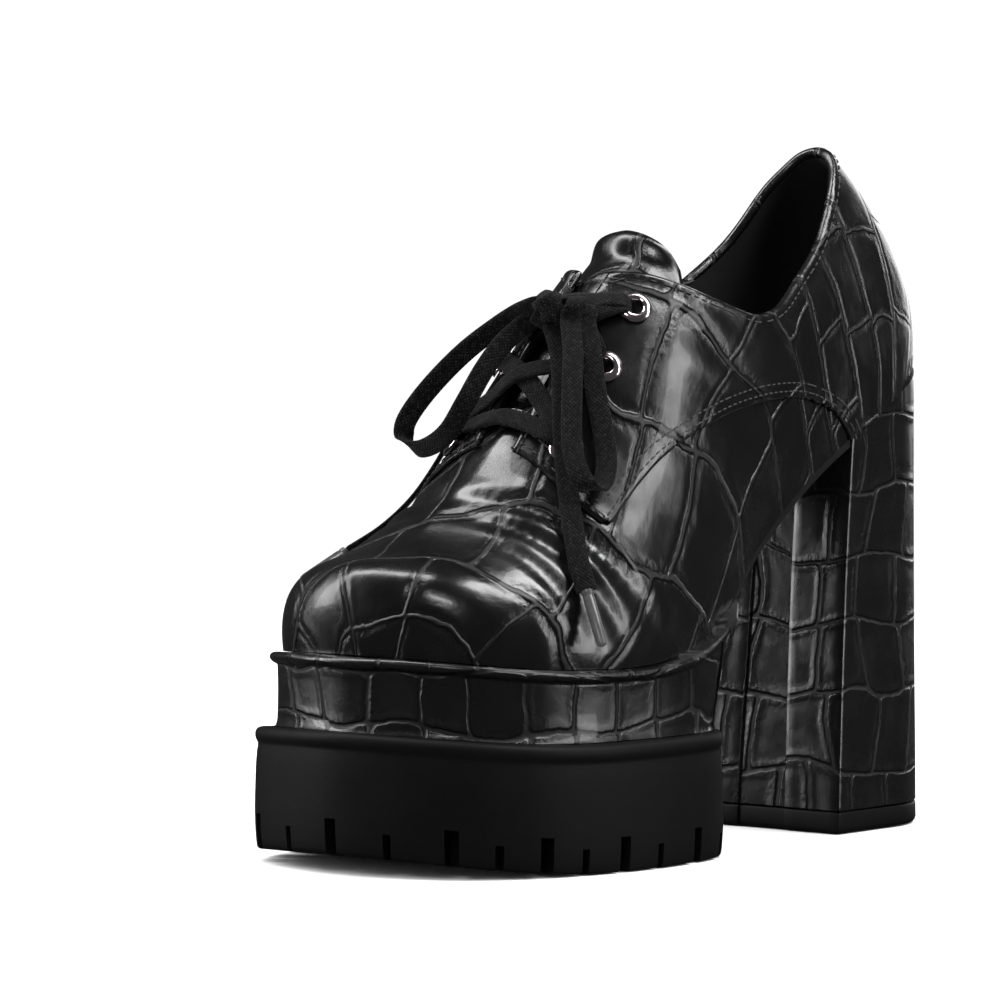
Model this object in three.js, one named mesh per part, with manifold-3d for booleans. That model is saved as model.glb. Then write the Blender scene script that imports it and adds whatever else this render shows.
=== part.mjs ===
// Laced platform shoe for the left foot, with a block heel.
// Millimetres, +Z up, floor at Z 0, toe toward -Y, outer side toward +X.
import * as THREE from 'three';
import { mergeVertices } from 'three/addons/utils/BufferGeometryUtils.js';
import ManifoldLibrary from 'manifold-3d';

const wasm = await ManifoldLibrary();
wasm.setup();

// Driving sizes of the last, the form that the shoe is built round
const LAST_LENGTH = 226;     // feather edge from heel to toe, seen from above
const BALL_WIDTH = 95.5;     // feather edge across the ball of the foot
const PLATFORM_TOP = 57;     // top of the platform under the ball, above the floor
const SEAT_RISE = 81.5;      // heel seat above the platform's top
const LAST_HEIGHT = 156;     // top of the last's cone above the platform's top
const HEEL_BACK = 116.2;     // Y of the back of the heel seat
const AXIS_X = 4.74;         // X of the heel's centre line

// Sizes of the shoe's own parts
const WALL = 1.8;            // leather and lining of the upper
const LAP = 1.2;             // how far the quarters stand proud of the vamp
const CLEAR = 0.3;           // gap between pieces that meet
const RUBBER_HEIGHT = 36.1;  // outsole unit under the ball
const BOTTOM_SPRING = 5;     // lift of the outsole's bottom at the toe
const RIM_SPRING = 3.5;      // lift of the outsole's top at the toe
const REAR_LEAN = 9;         // how far the platform's back leans toward the heel
const WAIST_THICKNESS = 2.4;
const INSOLE_THICKNESS = 2.6;
const LIFT_HEIGHT = 6.6;     // rubber lift under the heel
const HEEL_WIDTH = 60;       // heel block at the floor
const HEEL_DEPTH = 57;       // heel block at the floor, breast to back
const HEEL_SET_BACK = 1;     // back of the heel block behind the heel seat
const TONGUE_THICKNESS = 2;
const TONGUE_WIDTH = 50;
const TONGUE_FLARE = 3;      // how far the tongue's free top leans out
const TONGUE_CLEAR = 0.75;   // gap between the tongue and the wall over it
const THROAT_GAP = 13;       // between the two eyestays
const EYELET_RADIUS = 5;
const EYELET_BORE = 2.3;
const LACE_WIDTH = 6;
const LACE_THICKNESS = 1.2;
const AGLET_RADIUS = 1.75;
const AGLET_LENGTH = 17;

// One row per section of the last, from the back of the heel to the tip of the toe.
// Shares of LAST_LENGTH: y, ridgeY. Of BALL_WIDTH: outer, inner, ridgeX, top.
// Of SEAT_RISE: feather. Of LAST_HEIGHT: ridge, up, drop. Plain numbers: lean, fan.
// y, outer, inner, feather, ridgeX, ridgeY, ridge, up, lean, top, drop, fan
const SECTIONS = [
  [0.000, 0.000, 0.000, 1.000, 0.000, 0.195, 1.000, 0.167, 0.21, 0.283, 0.141, 1.0],
  [0.030, 0.164, -0.164, 0.972, 0.000, 0.199, 1.000, 0.167, 0.19, 0.262, 0.141, 1.0],
  [0.087, 0.251, -0.251, 0.902, 0.000, 0.217, 1.000, 0.179, 0.13, 0.199, 0.128, 1.0],
  [0.168, 0.288, -0.277, 0.791, 0.000, 0.257, 0.994, 0.205, 0.05, 0.105, 0.090, 0.6],
  [0.257, 0.293, -0.257, 0.663, 0.000, 0.341, 0.955, 0.231, 0.03, 0.157, 0.038, 0.3],
  [0.345, 0.309, -0.251, 0.515, 0.000, 0.434, 0.872, 0.231, 0.03, 0.314, 0.019, 0.0],
  [0.434, 0.346, -0.272, 0.350, 0.000, 0.522, 0.776, 0.231, 0.00, 0.356, 0.013, 0.0],
  [0.522, 0.403, -0.340, 0.153, 0.000, 0.606, 0.672, 0.218, 0.00, 0.356, 0.013, 0.0],
  [0.611, 0.445, -0.429, 0.037, -0.016, 0.686, 0.534, 0.179, 0.02, 0.356, 0.016, 0.0],
  [0.704, 0.461, -0.503, -0.002, -0.031, 0.757, 0.395, 0.154, 0.06, 0.356, 0.024, 0.0],
  [0.796, 0.445, -0.539, -0.002, -0.052, 0.823, 0.301, 0.141, 0.08, 0.356, 0.026, 0.2],
  [0.889, 0.387, -0.527, 0.012, -0.063, 0.881, 0.240, 0.141, 0.10, 0.335, 0.026, 0.5],
  [0.967, 0.246, -0.424, 0.037, -0.068, 0.920, 0.208, 0.147, 0.12, 0.272, 0.013, 1.0],
  [1.000, -0.084, -0.084, 0.049, -0.079, 0.940, 0.199, 0.147, 0.12, 0.157, 0.006, 1.0],
];

// Side views as shares of LAST_LENGTH from the heel back and of LAST_HEIGHT.
// Top line of the collar, from the heel to the front corner of the eyestay.
const TOP_LINE = [
  [0.133, 0.926], [0.141, 0.914], [0.152, 0.890], [0.173, 0.853], [0.201, 0.798], [0.226, 0.756],
  [0.252, 0.724], [0.288, 0.689], [0.319, 0.660], [0.354, 0.634], [0.394, 0.622],
  [0.425, 0.626], [0.482, 0.654], [0.522, 0.679], [0.556, 0.699], [0.577, 0.702],
  [0.595, 0.693], [0.606, 0.672],
];
// Lower edge of the quarters, from the throat tab back to the feather edge before the heel.
const QUARTER_EDGE = [
  [0.758, 0.392], [0.757, 0.317], [0.742, 0.270], [0.726, 0.255], [0.700, 0.285], [0.664, 0.328],
  [0.615, 0.376], [0.554, 0.415], [0.487, 0.444], [0.416, 0.461], [0.354, 0.465],
  [0.301, 0.458], [0.250, 0.432], [0.222, 0.395], [0.208, 0.350],
];

// Outline of the platform from above: shares y of LAST_LENGTH, outer and inner of BALL_WIDTH.
const PLATFORM_OUTLINE = [
  [0.515, 0.018, 0.018],
  [0.525, 0.281, -0.227],
  [0.568, 0.427, -0.366],
  [0.655, 0.482, -0.476],
  [0.743, 0.492, -0.560],
  [0.832, 0.466, -0.592],
  [0.912, 0.398, -0.565],
  [0.982, 0.241, -0.445],
  [1.020, -0.094, -0.094],
];

// Side profiles: share of the layer's height, millimetres above that, millimetres out.
const PLATFORM_SIDE = [
  [0, 0, -1.8], [0, 1.5, -2.4], [0.5, 0, -2.7], [1, -3.6, -2.6],
  [1, -2.9, -1.1], [1, -1.6, -0.4], [1, -0.5, -0.9], [1, 0, -2.4],
];
const RUBBER_SIDE = [
  [0, 0, 2.2], [0, 1.2, 3.3], [0.3, 0, 3.9], [0.75, 0, 3.6], [0.86, 0, 3.1],
  [0.9, 0, 3.5], [0.94, 0, 3.8], [0.98, 0, 3.2], [1, 0, 1.6],
];
// Notches as shares of the way round the rubber sole, from its rear middle to the toe.
const NOTCH_PLACES = [0, 0.042, 0.083, 0.124, 0.165, 0.215, 0.255, 0.294, 0.328, 0.365, 0.399, 0.45, 0.5];

// Heel block: share of the height from floor to seat, shares of HEEL_WIDTH / 2,
// of HEEL_DEPTH for the breast ahead of the floor's, and of HEEL_DEPTH for the back.
const HEEL_SIDE = [
  [0, 1.0, 0.0, 0.0],
  [0.45, 0.945, 0.085, -0.012],
  [1.05, 0.93, 0.185, -0.035],
];

// Eyelets up one eyestay, as places on the last's surface: along the sections, up the section.
const EYELET_PLACES = [[6.94, 0.8], [7.69, 0.785], [8.7, 0.765]];

const LAST_STATION = SECTIONS.length - 1;
const STEPS_PER_SECTION = 3;
const WALL_STEPS = 9;

const MATERIALS = {
  leather: { color: 0x0c0c0d, roughness: 0.28, metalness: 0 },
  rubber: { color: 0x111112, roughness: 0.75, metalness: 0 },
  waist: { color: 0x1c1c1d, roughness: 0.5, metalness: 0 },
  lining: { color: 0x0a0a0a, roughness: 0.9, metalness: 0 },
  lace: { color: 0x161616, roughness: 0.95, metalness: 0 },
  chrome: { color: 0xd6d0d2, roughness: 0.12, metalness: 1 },
  aglet: { color: 0x2a2a2b, roughness: 0.35, metalness: 0 },
};

// Smooth curve through rows of numbers; t counts rows.
function spline(at, t) {
  const k = Math.floor(t);
  const f = t - k;
  const [a, b, c, d] = [at(k - 1), at(k), at(k + 1), at(k + 2)];
  return b.map((value, i) => {
    const leave = (c[i] - a[i]) / 2;
    const arrive = (d[i] - value) / 2;
    const f2 = f * f;
    const f3 = f2 * f;
    return (2 * f3 - 3 * f2 + 1) * value + (f3 - 2 * f2 + f) * leave
      + (3 * f2 - 2 * f3) * c[i] + (f3 - f2) * arrive;
  });
}

function mix(a, b, t) {
  return a + (b - a) * t;
}

// A table of sections read as a closed ring: out along the outer side, back along the inner.
function ringRow(table, k) {
  const last = table.length - 1;
  const turn = ((k % (2 * last)) + 2 * last) % (2 * last);
  const outerSide = turn <= last;
  const [y, outer, inner, ...rest] = table[outerSide ? turn : 2 * last - turn];
  return [outerSide ? outer : inner, y, ...rest];
}

function section(u) {
  const row = spline((k) => ringRow(SECTIONS, k), u);
  return {
    x: AXIS_X + row[0] * BALL_WIDTH,
    y: HEEL_BACK - row[1] * LAST_LENGTH,
    z: PLATFORM_TOP + row[2] * SEAT_RISE,
    ridge: new THREE.Vector3(
      AXIS_X + row[3] * BALL_WIDTH,
      HEEL_BACK - row[4] * LAST_LENGTH,
      PLATFORM_TOP + row[5] * LAST_HEIGHT,
    ),
    up: row[6] * LAST_HEIGHT,
    lean: row[7],
    top: row[8] * BALL_WIDTH,
    drop: row[9] * LAST_HEIGHT,
    fan: row[10],
  };
}

// Direction out of a ring seen from above, from its points just before and after.
function outward(before, after) {
  const length = Math.hypot(after[0] - before[0], after[1] - before[1]);
  return [(before[1] - after[1]) / length, (after[0] - before[0]) / length];
}

// Point of the last: u runs round the shoe, v from the feather edge up to the ridge.
function lastPoint(u, v) {
  const s = section(u);
  const before = section(u - 0.05);
  const after = section(u + 0.05);
  const [nx, ny] = outward([before.x, before.y], [after.x, after.y]);
  const foot = new THREE.Vector3(s.x, s.y, s.z);
  const rise = new THREE.Vector3(s.lean * nx, s.lean * ny, 1).multiplyScalar(s.up).add(foot);
  const reach = new THREE.Vector3(s.x - s.ridge.x, (s.y - s.ridge.y) * s.fan, 0);
  reach.setLength(s.top);
  reach.z = -s.drop;
  return new THREE.CubicBezierCurve3(foot, rise, reach.add(s.ridge), s.ridge).getPoint(v);
}

function sideNormal(u, v) {
  const along = lastPoint(u + 0.04, v).sub(lastPoint(u - 0.04, v));
  const up = lastPoint(u, Math.min(v + 0.01, 1)).sub(lastPoint(u, Math.max(v - 0.01, 0)));
  return up.cross(along).normalize();
}

function lastNormal(u, v) {
  if (v < 0.985) return sideNormal(u, v);
  return sideNormal(u, 0.985).add(sideNormal(2 * LAST_STATION - u, 0.985)).normalize();
}

// Point at a distance out of the last.
function offLast(u, v, distance) {
  return lastPoint(u, v).addScaledVector(lastNormal(u, v), distance);
}

// Height of the last's bottom at a place along the shoe.
function bottomAt(y) {
  let low = 0;
  let high = LAST_STATION;
  for (let i = 0; i < 24; i += 1) {
    const middle = (low + high) / 2;
    if (section(middle).y > y) low = middle;
    else high = middle;
  }
  return section(low).z;
}

// Platform outline at a distance out, as [x, y] points with each pair level in y.
function platformRing(distance) {
  const count = PLATFORM_OUTLINE.length - 1;
  const steps = 3;
  const place = (t) => {
    const [x, y] = spline((k) => ringRow(PLATFORM_OUTLINE, k), t);
    return [AXIS_X + x * BALL_WIDTH, HEEL_BACK - y * LAST_LENGTH];
  };
  return Array.from({ length: 2 * count * steps }, (_, i) => {
    const [x, y] = place(i / steps);
    const [nx, ny] = outward(place(i / steps - 0.05), place(i / steps + 0.05));
    return [x + distance * nx, y + distance * ny];
  });
}

// Lift toward the toe that the soles share.
function toeShare(y) {
  const start = HEEL_BACK - 0.78 * LAST_LENGTH;
  return Math.max(0, (start - y) / (0.243 * LAST_LENGTH)) ** 2;
}

// Closed body from stacked rings; each ring's points i and n - i are level, so strips close it.
function loft(rings) {
  const n = rings[0].length;
  const positions = rings.flat(2);
  const faces = [];
  for (let r = 0; r + 1 < rings.length; r += 1) {
    for (let i = 0; i < n; i += 1) {
      const a = r * n + i;
      const b = r * n + ((i + 1) % n);
      faces.push(a, a + n, b, b, a + n, b + n);
    }
  }
  const top = (rings.length - 1) * n;
  for (let i = 0; i < n / 2; i += 1) {
    const [a, b] = [i, i + 1];
    const [c, d] = [(n - i) % n, n - i - 1];
    faces.push(a, b, c, b, d, c);
    faces.push(top + a, top + c, top + b, top + b, top + c, top + d);
  }
  return closed(positions, faces);
}

// Closed body from two sheets of points with the same rows and columns.
function slab(front, back) {
  const rows = front.length;
  const columns = front[0].length;
  const positions = [...front, ...back].flat().flatMap((p) => p.toArray());
  const at = (sheet, r, c) => (sheet * rows + r) * columns + c;
  const faces = [];
  const quad = (a, b, c, d) => faces.push(a, b, c, a, c, d);
  for (let r = 0; r + 1 < rows; r += 1) {
    for (let c = 0; c + 1 < columns; c += 1) {
      quad(at(0, r, c), at(0, r, c + 1), at(0, r + 1, c + 1), at(0, r + 1, c));
      quad(at(1, r, c), at(1, r + 1, c), at(1, r + 1, c + 1), at(1, r, c + 1));
    }
    quad(at(0, r, 0), at(0, r + 1, 0), at(1, r + 1, 0), at(1, r, 0));
    const e = columns - 1;
    quad(at(0, r, e), at(1, r, e), at(1, r + 1, e), at(0, r + 1, e));
  }
  for (let c = 0; c + 1 < columns; c += 1) {
    quad(at(0, 0, c), at(1, 0, c), at(1, 0, c + 1), at(0, 0, c + 1));
    const e = rows - 1;
    quad(at(0, e, c), at(0, e, c + 1), at(1, e, c + 1), at(1, e, c));
  }
  return closed(positions, faces);
}

// Geometry with shared corners merged, empty faces dropped and faces pointing out.
function closed(positions, faces) {
  const raw = new THREE.BufferGeometry();
  raw.setAttribute('position', new THREE.Float32BufferAttribute(positions, 3));
  raw.setIndex(faces);
  return tidy(raw);
}

function tidy(raw) {
  const bare = raw.clone();
  bare.deleteAttribute('normal');
  bare.deleteAttribute('uv');
  const merged = mergeVertices(bare, 1e-4);
  const p = merged.attributes.position;
  const index = merged.index.array;
  const kept = [];
  let volume = 0;
  const [a, b, c] = [new THREE.Vector3(), new THREE.Vector3(), new THREE.Vector3()];
  for (let i = 0; i < index.length; i += 3) {
    const [i0, i1, i2] = [index[i], index[i + 1], index[i + 2]];
    if (i0 !== i1 && i1 !== i2 && i2 !== i0) {
      kept.push(i0, i1, i2);
      a.fromBufferAttribute(p, i0);
      b.fromBufferAttribute(p, i1);
      c.fromBufferAttribute(p, i2);
      volume += a.dot(b.cross(c));
    }
  }
  if (volume < 0) kept.reverse();
  merged.setIndex(kept);
  return merged;
}

function toSolid(geometry) {
  const shape = tidy(geometry);
  return new wasm.Manifold(new wasm.Mesh({
    numProp: 3,
    vertProperties: new Float32Array(shape.attributes.position.array),
    triVerts: new Uint32Array(shape.index.array),
  }));
}

function toGeometry(solid) {
  const mesh = solid.getMesh();
  const geometry = new THREE.BufferGeometry();
  geometry.setAttribute('position', new THREE.Float32BufferAttribute(mesh.vertProperties, 3));
  geometry.setIndex(Array.from(mesh.triVerts));
  return geometry;
}

// Prisms for cutting: an outline in Y and Z drawn along X, or in X and Y drawn along Z.
function prismAlongX(points, from, to) {
  const shape = new THREE.Shape(points.map(([y, z]) => new THREE.Vector2(y, z)));
  const geometry = new THREE.ExtrudeGeometry(shape, { depth: to - from, bevelEnabled: false });
  const turn = new THREE.Matrix4().makeBasis(
    new THREE.Vector3(0, 1, 0),
    new THREE.Vector3(0, 0, 1),
    new THREE.Vector3(1, 0, 0),
  );
  return toSolid(geometry.applyMatrix4(turn).translate(from, 0, 0));
}

function prismAlongZ(points, from, to) {
  const shape = new THREE.Shape(points.map(([x, y]) => new THREE.Vector2(x, y)));
  const geometry = new THREE.ExtrudeGeometry(shape, { depth: to - from, bevelEnabled: false });
  return toSolid(geometry.translate(0, 0, from));
}

function sideView(table) {
  return table.map(([y, z]) => [HEEL_BACK - y * LAST_LENGTH, PLATFORM_TOP + z * LAST_HEIGHT]);
}

function smoothLine(points, steps) {
  const last = points.length - 1;
  const at = (k) => points[Math.min(Math.max(k, 0), last)];
  return Array.from({ length: last * steps + 1 }, (_, i) => spline(at, Math.min(i / steps, last)));
}

const ABOVE_ALL = PLATFORM_TOP + LAST_HEIGHT * 1.4;
const HALF_SPAN = BALL_WIDTH;

// The last as a body, moved out by a distance; its foot can reach below the feather edge.
function lastBody(distance, reachDown = 0) {
  const count = 2 * LAST_STATION * STEPS_PER_SECTION;
  const rings = [];
  const ring = (point) => Array.from({ length: count }, (_, i) => point(i / STEPS_PER_SECTION));
  if (reachDown > 0) {
    rings.push(ring((u) => {
      const p = offLast(u, 0, distance);
      return [p.x, p.y, p.z - reachDown];
    }));
  }
  for (let j = 0; j <= WALL_STEPS; j += 1) {
    rings.push(ring((u) => offLast(u, j / WALL_STEPS, distance).toArray()));
  }
  return toSolid(loft(rings));
}

// The gap between the eyestays, seen from above, from a place along the shoe to the collar.
function throatPrism(front) {
  const half = THROAT_GAP / 2;
  const frontX = AXIS_X + SECTIONS[9][4] * BALL_WIDTH;
  const topY = HEEL_BACK - 0.6 * LAST_LENGTH;
  const backY = HEEL_BACK - 0.42 * LAST_LENGTH;
  return prismAlongZ([
    [frontX - half, front], [frontX + half, front],
    [AXIS_X + half * 0.85, topY], [AXIS_X + half * 0.85, backY],
    [AXIS_X - half * 0.85, backY], [AXIS_X - half * 0.85, topY],
  ], PLATFORM_TOP + 0.24 * LAST_HEIGHT, ABOVE_ALL);
}

// All the room above the last's bottom, from before the toe to behind the heel.
function aboveBottom() {
  const front = HEEL_BACK - 1.1 * LAST_LENGTH;
  const back = HEEL_BACK + 0.1 * LAST_LENGTH;
  const count = 60;
  const line = Array.from({ length: count + 1 }, (_, i) => {
    const y = mix(front, back, i / count);
    return [y, bottomAt(y)];
  });
  return prismAlongX([...line, [back, ABOVE_ALL], [front, ABOVE_ALL]], -HALF_SPAN, HALF_SPAN);
}

function collarPrism() {
  const line = smoothLine(sideView(TOP_LINE), 3);
  const front = line[line.length - 1][0];
  const back = HEEL_BACK + 0.1 * LAST_LENGTH;
  return prismAlongX([...line, [front, ABOVE_ALL], [back, ABOVE_ALL], [back, line[0][1]]],
    -HALF_SPAN, HALF_SPAN);
}

function quarterPrism() {
  const line = smoothLine(sideView(QUARTER_EDGE), 2);
  const low = PLATFORM_TOP;
  const back = HEEL_BACK + 0.1 * LAST_LENGTH;
  return prismAlongX([...line, [line[line.length - 1][0], low], [back, low],
    [back, ABOVE_ALL], [line[0][0], ABOVE_ALL]], -HALF_SPAN, HALF_SPAN);
}

// Turns a geometry so that its Y axis leaves the last, and sets it at that place.
function seatOnLast(geometry, u, v, distance) {
  const turn = new THREE.Quaternion();
  turn.setFromUnitVectors(new THREE.Vector3(0, 1, 0), lastNormal(u, v));
  const place = offLast(u, v, distance);
  return geometry.applyQuaternion(turn).translate(place.x, place.y, place.z);
}

function eyeletSides() {
  return EYELET_PLACES.flatMap(([u, v], i) => [
    { name: `eyelet_lateral_${i + 1}`, u, v },
    { name: `eyelet_medial_${i + 1}`, u: 2 * LAST_STATION - u, v },
  ]);
}

function buildUpper() {
  const tabFront = HEEL_BACK - 0.78 * LAST_LENGTH;
  const vampEnd = HEEL_BACK - 0.725 * LAST_LENGTH;
  const skirt = 2 * LAP + WALL;
  const quarters = lastBody(LAP, skirt).intersect(quarterPrism()).subtract(throatPrism(tabFront));
  let shell = lastBody(0, skirt).subtract(throatPrism(vampEnd)).add(quarters);
  shell = shell.intersect(aboveBottom()).subtract(lastBody(-WALL, 2 * skirt)).subtract(collarPrism());
  for (const { u, v } of eyeletSides()) {
    const hole = new THREE.CylinderGeometry(EYELET_BORE + 0.9, EYELET_BORE + 0.9, 14, 14);
    shell = shell.subtract(toSolid(seatOnLast(hole, u, v, 0)));
  }
  return toGeometry(shell);
}

function buildInsole() {
  const inset = -(WALL + CLEAR);
  const count = 2 * LAST_STATION * STEPS_PER_SECTION;
  const ring = (height) => Array.from({ length: count }, (_, i) => {
    const p = offLast(i / STEPS_PER_SECTION, 0, inset);
    return [p.x, p.y, bottomAt(p.y) + height];
  });
  return loft([ring(CLEAR), ring(CLEAR + INSOLE_THICKNESS)]);
}

// Height of the collar's top line at a place along the shoe; none ahead of the eyestays' tops.
function collarHeight(y) {
  const line = smoothLine(sideView(TOP_LINE), 3);
  const next = line.findIndex(([place]) => place < y);
  if (next < 0) return ABOVE_ALL;
  if (next === 0) return line[0][1];
  const [[y0, z0], [y1, z1]] = [line[next - 1], line[next]];
  return mix(z0, z1, (y - y0) / (y1 - y0));
}

// Tongue under the eyestays, rising past them; a sheet that follows the last.
function buildTongue() {
  const [frontU, topU] = [9.35, 5.96];
  const rows = 13;
  const columns = 10;
  const sheet = (distance) => Array.from({ length: rows + 1 }, (_, r) => {
    const t = r / rows;
    const u = mix(frontU, topU, t);
    const corner = Math.max(0, (t - 0.86) / 0.14);
    const half = (TONGUE_WIDTH / 2) * mix(0.58, 1, Math.min(t * 1.4, 1)) * (1 - 0.22 * corner ** 2.5);
    return Array.from({ length: columns + 1 }, (__, c) => {
      const across = (2 * c) / columns - 1;
      const under = tonguePoint(u, Math.sign(across), Math.abs(across) * half, -(WALL + TONGUE_CLEAR));
      const free = THREE.MathUtils.smoothstep(under.z - collarHeight(under.y), 5, 12);
      return tonguePoint(u, Math.sign(across), Math.abs(across) * half,
        TONGUE_FLARE * free - (WALL + TONGUE_CLEAR) + distance);
    });
  });
  return slab(sheet(0), sheet(-TONGUE_THICKNESS));
}

// Point at a distance across from the ridge, found by halving along the section.
function tonguePoint(u, side, reach, distance) {
  const place = side < 0 ? 2 * LAST_STATION - u : u;
  const ridgeX = section(u).ridge.x;
  let low = 0.3;
  let high = 1;
  for (let i = 0; i < 18; i += 1) {
    const middle = (low + high) / 2;
    if (Math.abs(lastPoint(place, middle).x - ridgeX) > reach) low = middle;
    else high = middle;
  }
  return offLast(place, reach < 1e-6 ? 1 : low, distance);
}

// Platform layer: wrapped block with a bead round its top, its back leaning toward the heel.
function platformBody(extra) {
  const rings = PLATFORM_SIDE.map(([share, above, out]) => platformRing(out + extra).map(([x, y]) => {
    const low = RUBBER_HEIGHT + CLEAR + RIM_SPRING * toeShare(y);
    const rear = THREE.MathUtils.smoothstep(y, HEEL_BACK - 0.69 * LAST_LENGTH, HEEL_BACK - 0.54 * LAST_LENGTH);
    const top = bottomAt(y + REAR_LEAN * rear) - CLEAR;
    const z = low + share * (top - low) + above;
    return [x, y + REAR_LEAN * rear * THREE.MathUtils.clamp((z - low) / (top - low), 0, 1), z];
  }));
  return toSolid(loft(rings));
}

// Smooth cover of the waist: under the arch, then down the back of the platform.
function buildWaist() {
  const rearY = HEEL_BACK + HEEL_SET_BACK - 0.86 * HEEL_DEPTH;
  const frontY = HEEL_BACK - 0.52 * LAST_LENGTH;
  const stations = 10;
  const edge = (y) => {
    let [low, high] = [0, LAST_STATION];
    for (let i = 0; i < 24; i += 1) {
      const middle = (low + high) / 2;
      if (section(middle).y > y) low = middle;
      else high = middle;
    }
    return [section(low).x, section(2 * LAST_STATION - low).x];
  };
  const sheet = (height) => Array.from({ length: stations + 1 }, (_, i) => {
    const y = mix(rearY, frontY, i / stations);
    const [outer, inner] = edge(y);
    return [inner + 0.4, outer - 0.4].map((x) => new THREE.Vector3(x, y, bottomAt(y) + height));
  });
  const arch = toSolid(slab(sheet(-CLEAR), sheet(-CLEAR - WAIST_THICKNESS)));
  const low = RUBBER_HEIGHT + CLEAR;
  const cutY = HEEL_BACK - 0.548 * LAST_LENGTH;
  const backY = HEEL_BACK - 0.44 * LAST_LENGTH;
  const profile = Array.from({ length: stations }, (_, i) => mix(cutY, backY, i / (stations - 1)));
  const back = prismAlongX([
    ...profile.map((y) => [y, bottomAt(y) - CLEAR]),
    [backY, low], [cutY, low],
  ], -HALF_SPAN, HALF_SPAN);
  const cover = platformBody(WAIST_THICKNESS + 1).intersect(back).add(arch);
  const room = platformBody(2 * CLEAR);
  return toGeometry(cover.subtract(room).subtract(room.translate([0, 0, 1])));
}

function buildOutsole() {
  const rings = RUBBER_SIDE.map(([share, above, out]) => platformRing(out).map(([x, y]) => {
    const low = BOTTOM_SPRING * toeShare(y);
    const high = RUBBER_HEIGHT + RIM_SPRING * toeShare(y);
    return [x, y, low + share * (high - low) + above];
  }));
  let sole = toSolid(loft(rings));
  for (const notch of notches()) sole = sole.subtract(notch);
  return toGeometry(sole);
}

// Notches round the bottom edge, broad and narrow by turns; the inner side repeats the outer's.
function notches() {
  const broad = { width: 3.7, height: 10, depth: 8 };
  const narrow = { width: 2.3, height: 7, depth: 6 };
  const ring = platformRing(3.6).map(([x, y]) => new THREE.Vector2(x, y));
  ring.push(ring[0]);
  const lengths = ring.slice(1).map((p, i) => p.distanceTo(ring[i]));
  const total = lengths.reduce((sum, length) => sum + length, 0);
  const inner = NOTCH_PLACES.slice(1, -1).reverse().map((share) => 1 - share);
  return [...NOTCH_PLACES, ...inner].map((share, i) => {
    let rest = share * total;
    let k = 0;
    while (rest > lengths[k]) {
      rest -= lengths[k];
      k += 1;
    }
    const along = ring[k + 1].clone().sub(ring[k]).normalize();
    const place = ring[k].clone().addScaledVector(along, rest);
    const size = i % 2 === 0 ? broad : narrow;
    const low = BOTTOM_SPRING * toeShare(place.y);
    const box = new THREE.BoxGeometry(size.width, size.depth * 2, size.height + 4);
    box.translate(0, 0, size.height / 2 - 2 + low);
    box.rotateZ(Math.atan2(along.y, along.x));
    return toSolid(box.translate(place.x, place.y, 0));
  });
}

// D-shaped ring of the heel block: round back, straight sides, sharp corners at the breast.
function heelRing(halfWidth, breast, back, z) {
  const steps = 9;
  const middle = mix(breast, back, 0.44);
  const half = Array.from({ length: steps + 1 }, (_, i) => {
    const angle = (i / steps) * (Math.PI / 2);
    return [halfWidth * 0.945 * Math.sin(angle) ** 0.92, mix(middle, back, Math.cos(angle) ** 0.92)];
  });
  half.push([halfWidth, breast]);
  half.push([0, breast]);
  const mirrored = half.slice(1, -1).reverse().map(([x, y]) => [-x, y]);
  return [...half, ...mirrored].map(([x, y]) => [AXIS_X + x, y, z]);
}

function heelBlock(from, to) {
  const seat = PLATFORM_TOP + SEAT_RISE;
  const breast = HEEL_BACK + HEEL_SET_BACK - HEEL_DEPTH;
  const back = HEEL_BACK + HEEL_SET_BACK;
  const last = HEEL_SIDE.length - 1;
  const rings = [];
  const steps = 6;
  for (let i = 0; i <= steps; i += 1) {
    const z = mix(from, to, i / steps);
    const t = (z / seat) / HEEL_SIDE[last][0] * last;
    const row = spline((k) => HEEL_SIDE[Math.min(Math.max(k, 0), last)], Math.min(t, last - 1e-6));
    rings.push(heelRing((HEEL_WIDTH / 2) * row[1], breast + HEEL_DEPTH * row[2], back + HEEL_DEPTH * row[3], z));
  }
  return toSolid(loft(rings));
}

function buildHeel() {
  const seat = PLATFORM_TOP + SEAT_RISE;
  const room = aboveBottom().translate([0, 0, -CLEAR]);
  return toGeometry(heelBlock(LIFT_HEIGHT, seat * 1.02).subtract(room));
}

function buildLift() {
  return toGeometry(heelBlock(0, LIFT_HEIGHT - CLEAR));
}

// Ring with a short barrel through the wall.
function eyeletRing() {
  const r = EYELET_RADIUS;
  const bore = EYELET_BORE;
  const barrel = bore + 0.55;
  const profile = [
    [bore, -WALL - LAP], [bore, 0.8], [bore + 0.5, 1.25], [r - 0.9, 1.15],
    [r, 0.5], [r, 0], [barrel, 0], [barrel, -WALL - LAP], [bore, -WALL - LAP],
  ].map(([x, y]) => new THREE.Vector2(x, y));
  return new THREE.LatheGeometry(profile, 12);
}

// Flat lace through places, each with its outward direction or the direction of its width.
function ribbon(places) {
  const half = LACE_WIDTH / 2;
  const sheet = (height) => places.map(({ point, normal, width }, i) => {
    const before = places[Math.max(i - 1, 0)].point;
    const after = places[Math.min(i + 1, places.length - 1)].point;
    const along = after.clone().sub(before).normalize();
    const facing = normal ?? width.clone().cross(along);
    const across = along.clone().cross(facing).normalize();
    const out = across.clone().cross(along).normalize();
    return [-half, half].map((w) => point.clone().addScaledVector(across, w).addScaledVector(out, height));
  });
  return slab(sheet(LACE_THICKNESS / 2), sheet(-LACE_THICKNESS / 2));
}

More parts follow.
